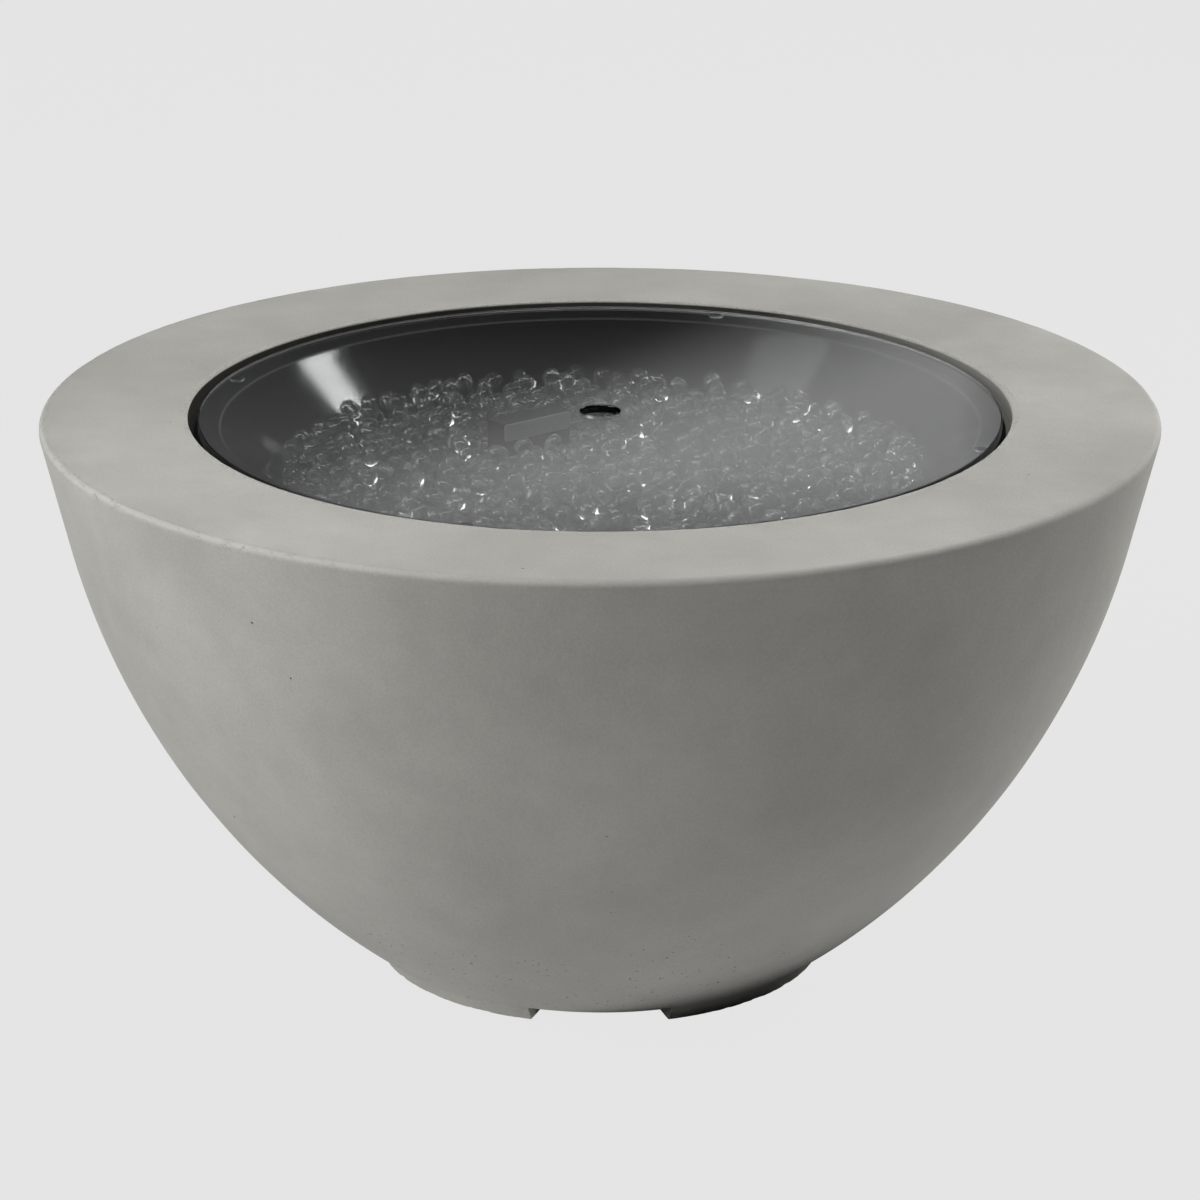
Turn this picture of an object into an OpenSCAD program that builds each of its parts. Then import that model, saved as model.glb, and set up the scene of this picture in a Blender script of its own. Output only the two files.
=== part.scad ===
// Gas fire pit bowl: a cast concrete bowl on a notched foot ring, with a drop-in burner pan,
// a bed of clear fire glass under a round glass cover, and the gas controls in a recess at the back.
// Millimetres. The origin is the middle of the foot, on the ground. +Z is up and the front is -Y.

/* [Bowl] */
// Height of the rim above the ground
bowl_h = 380; // [370:1:395]
// Outer radius of the rim
bowl_r = 371; // [365:1:380]
// Rounding of the rim's outer edge
rim_round = 4.5; // [3:0.5:7]
// Rounding of the edge round the opening
lip_round = 3; // [2:0.5:4]
// Radius of the opening in the rim
opening_r = 273; // [271:0.5:276]
// Thickness of the rim slab
rim_t = 36; // [30:1:42]
// Width of the ledge that carries the burner pan
ledge_w = 15; // [11:0.5:17]
// Lean of the straight part of the flank, from upright
flank_lean = 13.5; // [12:0.1:15]
// Height of the straight part of the flank, down from the rim
flank_straight_h = 76; // [60:1:90]
// Radius of the flank's curve where it ends, at the top of the foot
base_r = 157; // [150:1:164]
// Thickness of the flank
wall_t = 24; // [20:1:28]
// Thickness of the bowl's floor
floor_t = 25; // [18:1:32]
// Plain flank below the control recess, down to where the bowl's upper and middle wall rings meet
recess_margin = 25; // [15:1:35]
// Height of the bowl's middle wall ring
middle_wall_h = 64; // [50:1:75]
// Radius of the hole in the floor, for the gas supply and for air
floor_hole_r = 90; // [70:1:105]

/* [Foot] */
// Outer radius of the foot ring
foot_r = 155; // [150:1:162]
// Width of the foot ring
foot_w = 35; // [28:1:40]
// Height of the foot ring
foot_h = 11; // [8:0.5:14]
// Rounding of the foot ring's lower edges
foot_round = 3; // [1.5:0.5:4]
// Angle of each notch in the foot ring
notch_angle = 35; // [25:1:45]

/* [Glass cover] */
// Gap between the glass and the opening
cover_gap = 6.3; // [4:0.1:8]
// Thickness of the glass
cover_t = 6; // [5:0.5:8]
// How far the glass lies below the rim
cover_drop = 2.5; // [1:0.5:4]
// Rounding of the glass's edges
cover_round = 1; // [0.5:0.1:1.5]
// Radius of the finger hole
finger_hole_r = 13; // [11:0.5:16]
// Radius of a bumper under the glass
bumper_r = 5.3; // [4:0.1:6]
// Thickness of a bumper
bumper_t = 2; // [1.5:0.1:3]
// Distance of the bumpers' middles from the glass's edge
bumper_inset = 6.2; // [5.5:0.1:7.5]
// Angle of the first bumper
bumper_angle = -18.5; // [-30:0.5:-10]

/* [Burner pan] */
// Gap between the pan's flange and the opening
pan_gap = 4; // [3:0.5:5]
// Width of the pan's flange
pan_flange_w = 15; // [13:0.5:16]
// Width of the pan's sloping wall, seen from above
pan_slope_w = 75; // [65:1:82]
// Depth of the pan
pan_depth = 65.5; // [60:0.5:75]
// Thickness of the pan's sheet
pan_t = 1.5; // [1:0.1:2]
// Radius of a weep hole in the pan's floor
weep_r = 4; // [3:0.5:5]
// Distance of the weep holes from the edge of the pan's floor
weep_inset = 29; // [15:1:38]
// Number of weep holes
weep_count = 6; // [4:1:8]

/* [Burner] */
// Radius of the burner ring, to the middle of its tube
ring_r = 110; // [106:0.5:116]
// Outer radius of the ring's tube
ring_tube_r = 9; // [8:0.5:10]
// Wall of the burner's tubes
tube_wall = 1.5; // [1:0.1:2]
// Height of the ring's tube above the pan's floor, at its middle
ring_lift = 16; // [14:0.5:18]
// Radius of a gas port
port_r = 1.5; // [1:0.1:2]
// Number of gas ports
port_count = 24; // [12:1:32]
// Lean of the gas ports, outwards from straight up
port_lean = 30; // [0:5:45]
// Radius of the hub
hub_r = 28; // [24:1:32]
// Outer radius of a spoke
spoke_r = 7; // [6:0.5:8]
// Number of spokes
spoke_count = 3; // [2:1:3]
// Outer radius of the inlet pipe under the hub
pipe_r = 10.65; // [9:0.05:12]
// Length of the inlet pipe below the pan's floor
pipe_l = 34; // [30:1:40]
// Radius of the washer under the pan
washer_r = 20; // [17:0.5:24]
// Thickness of the washer
washer_t = 2; // [1:0.5:3]
// Height of the lock nut
lock_nut_h = 9; // [7:0.5:10]
// Width of the lock nut across its flats
lock_nut_flats = 32; // [29:0.5:36]
// Outer radius of the air mixer
mixer_r = 17; // [15:0.5:20]
// Length of the air mixer
mixer_l = 56; // [50:1:64]
// Length of pipe inside the air mixer
mixer_grip = 16; // [12:1:18]
// Radius of an air hole in the mixer
air_hole_r = 5; // [4:0.5:5.5]
// Number of air holes
air_hole_count = 4; // [3:1:4]
// Thickness of the air mixer's end
mixer_wall = 4; // [3.5:0.1:5]

/* [Gas fittings] */
// Outer radius of a flare thread
flare_r = 7.94; // [7.9:0.01:8]
// Length of a flare thread
flare_l = 16; // [14:0.5:18]
// Radius of the gas passage in a fitting
gas_bore_r = 4; // [3:0.25:5]
// Width of a fitting across its flats
fitting_flats = 19; // [18:0.5:22]
// Height of a fitting's hexagon
fitting_hex_h = 8; // [6:0.5:10]
// Radius of a fitting's shank
fitting_shank_r = 7.5; // [7:0.1:8]
// Length of a fitting's shank inside its neighbour
fitting_shank_l = 5; // [4:0.5:6]
// Metal left at the end of a fitting's bore or nut
bore_end = 2; // [1.5:0.1:2.5]
// Radius of the jet in the orifice
jet_r = 0.8; // [0.6:0.05:1.2]
// Outer radius of the flexible gas line
flex_r = 6.5; // [6:0.1:7]
// Width of the gas line's nuts across their flats
flex_nut_flats = 22; // [21:0.5:24]
// Length of the gas line's nuts
flex_nut_l = 22; // [19:0.5:24]

/* [Control recess] */
// Height of the middle of the control panel
panel_z = 235; // [225:1:245]
// Width of the control panel
panel_w = 135; // [128:1:142]
// Height of the control panel
panel_h = 91; // [86:1:98]
// Thickness of the control panel
panel_t = 2; // [1.5:0.1:3]
// Rounding of the control panel's corners
panel_round = 6; // [4:0.5:9]
// Depth of the panel's face below the bowl's surface
panel_sink = 10; // [9:0.5:12]
// Width of the ledge behind the panel
panel_ledge = 11.5; // [10.5:0.5:13]
// Radius of a panel screw's thread
panel_screw_r = 2.4; // [2:0.1:2.5]
// Length of a panel screw's thread
panel_screw_l = 12; // [10:0.5:13]
// Radius of a panel screw's head
panel_head_r = 4.7; // [4:0.1:5]
// Height of a panel screw's head
panel_head_h = 2.8; // [2:0.1:3.5]
// Outer radius of a threaded insert in the concrete
insert_r = 4; // [3.5:0.1:4.5]
// Length of a threaded insert
insert_l = 12; // [10:0.5:14]
// Thickness of a threaded insert's closed end
insert_end = 1; // [0.8:0.1:1.5]

/* [Gas valve] */
// Distance of the valve's axis from the middle of the panel
valve_off = 26; // [25:0.5:28]
// Radius of the valve's body
valve_r = 14; // [12.5:0.5:15]
// Length of the valve's body behind its flange
valve_l = 50; // [48:0.5:54]
// Width of the valve's flange
valve_flange_w = 30; // [28:0.5:32]
// Height of the valve's flange
valve_flange_h = 60; // [58:0.5:62]
// Thickness of the valve's flange
valve_flange_t = 4; // [3:0.5:5]
// Radius of the valve's neck
neck_r = 9; // [7:0.5:10]
// How far the neck stands proud of the panel
neck_proud = 3; // [2:0.5:3.5]
// Distance between the valve's two screws
valve_screw_gap = 50; // [50:0.5:52]
// Radius of a valve screw's thread
valve_screw_r = 1.9; // [1.5:0.1:2]
// Radius of a valve screw's head
valve_head_r = 3.5; // [3:0.1:4]
// Height of a valve screw's head
valve_head_h = 2; // [1.5:0.1:2.5]
// Radius of the valve's spring chamber
chamber_r = 7.2; // [6.8:0.1:8]
// Length of the spring chamber
chamber_l = 18; // [17:0.5:20]
// Radius of the plug at its wide end
plug_r = 7; // [6:0.1:7]
// Taper of the plug over its length, in radius
plug_taper = 1; // [0.5:0.1:1.5]
// Length of the plug
plug_l = 20; // [18:0.5:21]
// Radius of the plug's gas port
plug_port_r = 2; // [1.5:0.1:2.5]
// Radius of the plug's bore
plug_bore_r = 2.8; // [2.6:0.1:3.2]
// Radius of the outlet's bore
outlet_bore_r = 3; // [2.5:0.1:3.5]
// Radius of the outlet boss
outlet_r = 9; // [8.5:0.1:10]
// Reach of the outlet boss from the valve's axis
outlet_reach = 24; // [22:0.5:26]
// Radius of the boss for the thermocouple
sensor_boss_r = 6; // [5:0.5:7]
// Reach of the thermocouple boss from the valve's axis
sensor_reach = 18; // [17:0.5:20]

/* [Knob] */
// Radius of the stem
stem_r = 4; // [3.5:0.05:4.5]
// Radius of the stem's collar
collar_r = 6.6; // [6:0.1:6.7]
// Thickness of the stem's collar
collar_t = 3; // [2:0.5:4]
// Depth of the flat on the stem
stem_flat = 1.2; // [0.8:0.1:1.6]
// Thickness of the stem's tongue
tongue_t = 1.8; // [1.4:0.1:2.2]
// Width of the stem's tongue
tongue_w = 5; // [4:0.5:6]
// Depth of the stem's tongue in the plug
tongue_grip = 4; // [3:0.5:4.5]
// Step between the stem and its thinner tail, in radius
stem_step = 1.2; // [1:0.1:1.4]
// Travel of the knob when it is pushed
knob_travel = 4; // [3:0.5:4.5]
// Radius of the knob
knob_r = 21; // [18:0.5:22]
// Height of the knob
knob_h = 19; // [17:0.5:22]
// Depth of the hollow under the knob
knob_skirt_h = 8.5; // [8:0.5:9]
// Chamfer of the knob's front edge
knob_chamfer = 2; // [1:0.5:2.5]
// Width of the knob's pointer
pointer_w = 2.4; // [1.6:0.2:3]
// Length of the knob's pointer
pointer_l = 10.5; // [8:0.5:12]
// Height of the knob's pointer
pointer_t = 0.8; // [0.5:0.1:1.2]
// Wall of the knob
knob_wall = 4; // [3:0.5:5]
// Number of grip flutes
flute_count = 20; // [12:1:26]
// Radius of a grip flute
flute_r = 1.6; // [1:0.1:2]
// Depth of a grip flute
flute_depth = 0.9; // [0.6:0.1:1.2]
// Height of the plain band below the flutes
flute_start = 4; // [3:0.5:6]
// Radius of the knob's set screw
set_screw_r = 1.9; // [1.5:0.1:2.2]
// Length of the knob's set screw
set_screw_l = 7; // [5:0.5:9]

/* [Igniter] */
// Distance of the igniter's axis from the middle of the panel
igniter_off = 30; // [28:0.5:33]
// Outer radius of the igniter's barrel
barrel_r = 11; // [10.5:0.1:12]
// Length of the barrel behind the panel's face
barrel_l = 66; // [65:0.5:70]
// Wall at the barrel's end
barrel_end = 4; // [3:0.5:5]
// Radius of the igniter's bezel
bezel_r = 15; // [14:0.5:15.5]
// Thickness of the bezel
bezel_t = 4; // [3:0.5:5]
// Radius of the igniter's nut
barrel_nut_r = 15; // [13.5:0.5:16]
// Height of the igniter's nut
barrel_nut_h = 5; // [4:0.5:7]
// Radius of the push button
button_r = 9; // [8.2:0.1:9.5]
// How far the button stands out of the bezel
button_proud = 5; // [4:0.5:6]
// Travel of the button
button_travel = 3.5; // [2.5:0.5:4]
// Chamfer of the button's edge
button_chamfer = 1.5; // [0.5:0.5:2]
// Number of grip notches in the igniter's nut
nut_notch_count = 12; // [8:1:14]
// Radius of a grip notch
nut_notch_r = 1.8; // [1.4:0.1:2]
// Radius of the battery
battery_r = 7.25; // [7:0.05:7.3]
// Length of the battery
battery_l = 50.5; // [49:0.5:51]
// Height of the nub on the battery's end
battery_nub = 1.5; // [1:0.1:2]
// Radius of that nub
battery_nub_r = 2.8; // [2.4:0.1:3.2]
// Radius of the terminal at the barrel's end
terminal_r = 3.5; // [3:0.25:4.5]
// Length of the terminal
terminal_l = 7; // [5:0.5:9]

/* [Pilot] */
// Distance of the pilot hood from the axis
hood_place_r = 77; // [74:0.5:80]
// Angle of the pilot hood
hood_angle = 128.7; // [126:0.1:131]
// Length of the hood
hood_l = 57; // [54:0.5:60]
// Width of the hood
hood_w = 18; // [17:0.5:19]
// Height of the hood above the pan's floor
hood_h = 49; // [46:0.5:52]
// Thickness of the hood's sheet
hood_t = 1.2; // [1:0.1:1.5]
// Length of the hood's feet
hood_foot_l = 13; // [12:0.5:14]
// Radius of a pilot screw's thread
pilot_screw_r = 1.9; // [1.5:0.1:2]
// Radius of a pilot screw's head
pilot_head_r = 3.6; // [3:0.1:4]
// Height of a pilot screw's head
pilot_head_h = 2.2; // [1.5:0.1:3]
// Height of a pilot nut
pilot_nut_h = 3.2; // [2.5:0.1:4]
// Width of a pilot nut across its flats
pilot_nut_flats = 7; // [6:0.5:8]
// Length of the bracket under the hood
bracket_l = 50; // [48:0.5:52]
// Width of the bracket
bracket_w = 13; // [11:0.5:14]
// Thickness of the bracket
bracket_t = 1.5; // [1:0.1:2]
// Distance of the electrode and the thermocouple from the hood's middle
sensor_off = 11; // [10:0.5:12]
// Radius of the electrode's insulator
insulator_r = 3.5; // [3:0.1:4]
// Height of the insulator above the pan's floor
insulator_h = 26; // [22:0.5:30]
// Length of the insulator below the pan's floor
insulator_drop = 10; // [8:0.5:12]
// Width of the insulator's collar, beyond its barrel
insulator_collar_w = 1.2; // [0.8:0.1:1.6]
// Height of the insulator's collar
insulator_collar_h = 4; // [3:0.5:5]
// Radius of the electrode wire
electrode_r = 1.2; // [0.8:0.1:1.5]
// Height of the electrode above the pan's floor
electrode_h = 36; // [34:0.5:40]
// Reach of the electrode's bent tip
electrode_reach = 7; // [5:0.5:8]
// Radius of the thermocouple
thermocouple_r = 2.4; // [2:0.1:3]
// Height of the thermocouple above the pan's floor
thermocouple_h = 40; // [36:0.5:43]
// Length of the thermocouple below the pan's floor
thermocouple_drop = 12; // [9:0.5:14]
// Radius of the thermocouple's shoulder
shoulder_r = 4; // [3.5:0.1:4.5]
// Thickness of the thermocouple's shoulder
shoulder_t = 3; // [2:0.5:4]
// Radius of the ignition lead
ignition_lead_r = 1.8; // [1.5:0.1:2.2]
// Radius of the thermocouple lead
sensor_lead_r = 1.5; // [1.2:0.1:2]
// Width of the thermocouple nut across its flats
sensor_nut_flats = 10; // [9:0.5:11]
// Length of the thermocouple nut
sensor_nut_l = 9; // [7:0.5:11]

/* [Fire glass] */
// Level of the bed below the rim, at the middle
bed_drop_middle = 48; // [46:0.5:50]
// Level of the bed below the rim, at the pan's wall
bed_drop_edge = 54; // [52:0.5:56]
// Radius of a glass gem
gem_r = 5.8; // [5:0.1:6.2]
// Spacing constant of the spiral of gems
gem_pitch = 9.6; // [9.2:0.1:12]

/* [Springs and clearances] */
// Radius of the spring wire
spring_wire_r = 0.6; // [0.4:0.05:0.7]
// Turns of the stem's spring
stem_spring_turns = 6; // [4:1:7]
// Turns of the igniter's spring
igniter_spring_turns = 3; // [2:1:4]
// Clearance left at the end of a stroke
stroke_gap = 1; // [0.8:0.1:1.2]
// Radial clearance of a running fit
run_gap = 0.05; // [0.02:0.01:0.1]
// Radial clearance of a screw or pipe in its hole
hole_gap = 0.2; // [0.1:0.05:0.3]
// Clearance between loose neighbours
seat_gap = 0.25; // [0.2:0.05:0.3]

/* [Hidden] */
$fn = 96;

// Width of a screw's socket across its flats, over its head's radius
socket_share = 0.7;
// A length that runs past any face it has to cut
past = 40;
// A small overlap inside one solid
lap = 0.5;

// The flank: the rim's rounding, the straight stretch that touches it, and the arc that touches that
rim_centre = [bowl_r - rim_round, bowl_h - rim_round];
flank_top = rim_centre + rim_round * [cos(flank_lean), -sin(flank_lean)];
bend_z = bowl_h - flank_straight_h;
bend_r = flank_top.x - (flank_top.y - bend_z) * tan(flank_lean);
flank_out = [cos(flank_lean), -sin(flank_lean)];
flank_drop = [base_r, foot_h] - [bend_r, bend_z];
flank_arc_r = -(flank_drop * flank_drop) / (2 * flank_drop * flank_out);
arc_centre = [bend_r, bend_z] - flank_arc_r * flank_out;
inner_arc_r = flank_arc_r - wall_t;
inner_bend = arc_centre + inner_arc_r * flank_out;
rim_under_z = bowl_h - rim_t;
inner_top_r = inner_bend.x + (rim_under_z - inner_bend.y) * tan(flank_lean);
floor_top_z = foot_h + floor_t;
upper_wall_z = panel_z - panel_h / 2 - recess_margin;
middle_wall_z = upper_wall_z - middle_wall_h;

// The cover, the pan's flange and the ledge stack down from the rim
cover_top_z = bowl_h - cover_drop;
cover_r = opening_r - cover_gap;
cover_under_z = cover_top_z - cover_t;
flange_z = cover_under_z - bumper_t - seat_gap;
ledge_z = flange_z - pan_t;
ledge_r = opening_r - ledge_w;
pan_flange_r = opening_r - pan_gap;
pan_r = pan_flange_r - pan_flange_w;
pan_floor_r = pan_r - pan_slope_w;
weep_place_r = pan_floor_r - weep_inset;
bumper_place_r = cover_r - bumper_inset;
pan_floor_z = flange_z - pan_depth;
pan_slope = atan2(pan_depth, pan_r - pan_floor_r);
pan_corner = pan_t * tan(pan_slope / 2);

// The burner hangs in the pan's floor
ring_z = pan_floor_z + ring_lift;
ring_bore_r = ring_tube_r - tube_wall;
hub_h = ring_lift + spoke_r + tube_wall;
pipe_end_z = pan_floor_z - pipe_l;
under_pan_z = pan_floor_z - pan_t;
mixer_top_z = pipe_end_z + mixer_grip;
mixer_end_z = mixer_top_z - mixer_l;
orifice_flare_z = mixer_end_z - fitting_hex_h;
orifice_end_z = orifice_flare_z - flare_l;

// The control panel lies square to the flank at its own height
panel_lean = asin((arc_centre.y - panel_z) / flank_arc_r);
panel_surface_r = arc_centre.x + flank_arc_r * cos(panel_lean);
panel_back = -panel_sink - panel_t;
panel_screw_at = [panel_w / 2 - panel_ledge / 2, panel_h / 2 - panel_ledge / 2];
valve_face = panel_back - valve_flange_t;
valve_end = valve_face - valve_l;
neck_front = neck_proud - panel_sink;
chamber_front = valve_face - collar_t - stroke_gap;
chamber_end = chamber_front - chamber_l;
plug_front = chamber_end - seat_gap;
plug_end = plug_front - plug_l;
port_at = plug_end + plug_port_r * 2;
collar_front = chamber_front - seat_gap;
collar_back = collar_front - collar_t;
tongue_root = plug_front + knob_travel + stroke_gap;
tongue_end = plug_front - tongue_grip;
slot_depth = knob_travel + tongue_grip + stroke_gap;
knob_back = knob_travel + stroke_gap - panel_sink;
knob_front = knob_back + knob_h;
knob_web = knob_back + knob_skirt_h;
stem_end = knob_front - knob_wall;
set_screw_at = (knob_web + stem_end) / 2;
barrel_tail = -panel_sink - barrel_l;
bezel_front = bezel_t - panel_sink;
button_front = bezel_front + button_proud;
button_h = button_proud + bezel_t;
button_back = button_front - button_h;
button_seat = button_back - button_travel - stroke_gap;
battery_bottom = barrel_tail + barrel_end + seat_gap;
battery_top = battery_bottom + battery_l;
battery_shoulder = battery_top - battery_nub;
outlet_end = outlet_reach + flare_l;
sensor_nut_end = sensor_reach + sensor_nut_l;

// Where the pilot's pieces stand
insulator_foot_z = pan_floor_z - insulator_drop;
thermocouple_foot_z = pan_floor_z - thermocouple_drop;
hood_screw_at = hood_l / 2 + hood_foot_l / 2;
bracket_screw_at = bracket_l / 2 - pilot_head_r - lap;
pilot_reach = pan_t + pilot_nut_h + 2 * lap;

// The top of the fire glass, as a height over its distance from the axis
bed_edge_z = bowl_h - bed_drop_edge;
bed_middle_z = bowl_h - bed_drop_middle;
bed_edge_r = pan_r - (flange_z - bed_edge_z) / tan(pan_slope) - seat_gap * 2;
function bed_top(r) = bed_middle_z + (bed_edge_z - bed_middle_z) * r / bed_edge_r;

// A point of the control panel's own frame, and of the pilot's, in the bowl's frame
function panel_point(p) = [
    -p.x,
    panel_surface_r + p.y * sin(panel_lean) + p.z * cos(panel_lean),
    panel_z + p.y * cos(panel_lean) - p.z * sin(panel_lean)
];
function pilot_point(out, along, z) = [
    (hood_place_r + out) * cos(hood_angle) - along * sin(hood_angle),
    (hood_place_r + out) * sin(hood_angle) + along * cos(hood_angle),
    z
];

// The routes of the gas line and the two leads: each leaves its fittings straight, and hangs free between
gas_run = [seat_gap, 6, 13, 22];
lead_run = [seat_gap, 4, 9];
function straight(from, towards, run) = [for (reach = run) from + reach * towards];
function reversed(route) = [for (i = [len(route) - 1:-1:0]) route[i]];
panel_across = panel_point([-1, 0, 0]) - panel_point([0, 0, 0]);
panel_up = panel_point([0, 1, 0]) - panel_point([0, 0, 0]);
panel_in = panel_point([0, 0, -1]) - panel_point([0, 0, 0]);
flex_route = concat(
    straight([0, 0, orifice_end_z], [0, 0, -1], gas_run),
    [for (p = [[3, 3.5, -39.5], [12, 13, -52], [24, 26, -57], [48, 54, -59], [76, 94, -54], [102, 145, -38],
        [118, 195, -18], [123, 232, 0], [123, 256.5, 25], [118.5, 269, 37.5], [105.7, 278.3, 46]])
        p + [0, 0, orifice_end_z]],
    reversed(straight(panel_point([-valve_off - outlet_end, 0, port_at]), panel_across, gas_run))
);
ignition_route = concat(
    straight(panel_point([igniter_off, 0, barrel_tail - terminal_l]), panel_in, lead_run),
    [for (p = [[-30.3, 236, -29.7], [-31.5, 215, -26], [-35, 185, -26.5], [-40, 150, -30], [-46, 118, -33],
        [-52, 90, -34], [-55.5, 68.2, -32.8], [-56.2, 60.7, -30.8], [-56.6, 55.2, -25.3]])
        p + [0, 0, under_pan_z]],
    reversed(straight(pilot_point(0, sensor_off, insulator_foot_z), [0, 0, -1], lead_run))
);
sensor_route = concat(
    straight(panel_point([-valve_off, sensor_nut_end, port_at]), panel_up, lead_run),
    [for (p = [[25.8, 295.8, -6.7], [25.1, 292.4, -1.6], [24.2, 285.7, 0.2], [21.5, 268, -0.8], [17, 245, -6.3],
        [10, 218, -14.8], [0, 185, -24.3], [-12, 148, -31.8], [-24, 115, -34.3], [-35, 81.2, -34.5],
        [-37.4, 74.1, -32.5], [-39, 68.9, -27]])
        p + [0, 0, under_pan_z]],
    reversed(straight(pilot_point(0, -sensor_off, thermocouple_foot_z), [0, 0, -1], lead_run))
);

// A smooth curve through a route's points, with a few steps between each two
function curve_point(a, b, c, d, t) = 0.5 * ((2 * b) + (c - a) * t + (2 * a - 5 * b + 4 * c - d) * t * t
    + (3 * b - a - 3 * c + d) * t * t * t);
function curve(route, steps) = let (last = len(route) - 1) concat(
    [for (i = [0:last - 1], k = [0:steps - 1])
        curve_point(route[max(i - 1, 0)], route[i], route[i + 1], route[min(i + 2, last)], k / steps)],
    [route[last]]
);
function unit(v) = v / norm(v);
function tangents(path) = [for (i = [0:len(path) - 1])
    unit(path[min(i + 1, len(path) - 1)] - path[max(i - 1, 0)])];
// Each ring's side direction is the one before it, turned as little as the path allows
function sides(dirs, side, i = 0) = i == len(dirs) ? [] :
    let (next = unit(side - (side * dirs[i]) * dirs[i])) concat([next], sides(dirs, next, i + 1));

// A round tube swept along a path of points
module sweep(path, r, ring_sides, first_side) {
    dirs = tangents(path);
    across = sides(dirs, first_side);
    rings = len(path);
    points = [for (i = [0:rings - 1], k = [0:ring_sides - 1])
        let (turn = 360 * k / ring_sides)
        path[i] + r * (cos(turn) * across[i] + sin(turn) * cross(dirs[i], across[i]))];
    walls = [for (i = [0:rings - 2], k = [0:ring_sides - 1], half = [0, 1])
        let (a = i * ring_sides + k, b = i * ring_sides + (k + 1) % ring_sides)
        half == 0 ? [a, b + ring_sides, b] : [a, a + ring_sides, b + ring_sides]];
    first_cap = [for (k = [1:ring_sides - 2]) [0, k, k + 1]];
    end = (rings - 1) * ring_sides;
    last_cap = [for (k = [1:ring_sides - 2]) [end, end + k + 1, end + k]];
    polyhedron(points, concat(walls, first_cap, last_cap), convexity = 10);
}

// A coil spring from z = 0 up to its length, with a flat turn's worth of wire at each end
spring_steps = 8;
module coil(r, length, turns) {
    rise = length - 2 * spring_wire_r;
    path = [for (i = [0:turns * spring_steps])
        let (turn = 360 * i / spring_steps)
        [r * cos(turn), r * sin(turn), spring_wire_r + rise * i / (turns * spring_steps)]];
    sweep(path, spring_wire_r * 0.98, 6, [1, 0, 0]);
}

// Frames of the control panel and of the pilot
module on_panel(x = 0) {
    translate([0, panel_surface_r, panel_z])
        rotate([90 + panel_lean, 0, 180])
            translate([x, 0, 0])
                children();
}
module at_pilot() {
    rotate([0, 0, hood_angle])
        translate([hood_place_r, 0, 0])
            children();
}

// Shapes that repeat
module disc(r, z0, z1) {
    translate([0, 0, z0]) cylinder(r = r, h = z1 - z0);
}
module hexagon(flats, z0, z1) {
    translate([0, 0, z0]) cylinder(r = flats / 2 / cos(30), h = z1 - z0, $fn = 6);
}
module rounded_plate(w, h, r, z0, z1) {
    translate([0, 0, z0])
        linear_extrude(z1 - z0)
            union() {
                square([w - 2 * r, h], center = true);
                square([w, h - 2 * r], center = true);
                for (sx = [-1, 1], sy = [-1, 1])
                    translate([sx * (w / 2 - r), sy * (h / 2 - r)]) circle(r);
            }
}
module at_corners(p) {
    for (sx = [-1, 1], sy = [-1, 1])
        translate([sx * p.x, sy * p.y, 0]) children();
}
// A screw with a hexagon socket, its head standing on z = 0
module screw(thread_r, thread_l, head_r, head_h) {
    difference() {
        union() {
            disc(thread_r, -thread_l, lap);
            disc(head_r, 0, head_h);
        }
        hexagon(head_r * socket_share, head_h / 2, head_h + past);
    }
}

// The bowl's outline in section: the flank, the rim's rounding and the foot ring
module bowl_outline() {
    polygon([[0, bend_z], [bend_r, bend_z], flank_top, rim_centre, [rim_centre.x, bowl_h], [0, bowl_h]]);
    translate(rim_centre) circle(rim_round);
    intersection() {
        translate(arc_centre) circle(flank_arc_r, $fn = 360);
        translate([0, foot_h]) square([bowl_r, bend_z - foot_h + lap / 100]);
    }
    foot_outline();
}
module foot_outline() {
    translate([foot_r - foot_w, foot_round]) square([foot_w, foot_h - foot_round + lap]);
    translate([foot_r - foot_w + foot_round, 0]) square([foot_w - 2 * foot_round, foot_h]);
    for (r = [foot_r - foot_w + foot_round, foot_r - foot_round])
        translate([r, foot_round]) circle(foot_round);
}
// The hollow in section, up to the underside of the rim
module hollow_outline() {
    polygon([[0, inner_bend.y], inner_bend, [inner_top_r, rim_under_z], [0, rim_under_z]]);
    intersection() {
        translate(arc_centre) circle(inner_arc_r, $fn = 360);
        translate([0, floor_top_z]) square([bowl_r, inner_bend.y - floor_top_z + lap / 100]);
    }
}
module opening_outline() {
    square([ledge_r, bowl_h + past]);
    translate([0, ledge_z]) square([opening_r, past + rim_t]);
    difference() {
        translate([0, bowl_h - lip_round]) square([opening_r + lip_round, past]);
        translate([opening_r + lip_round, bowl_h - lip_round]) circle(lip_round);
    }
}

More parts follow.
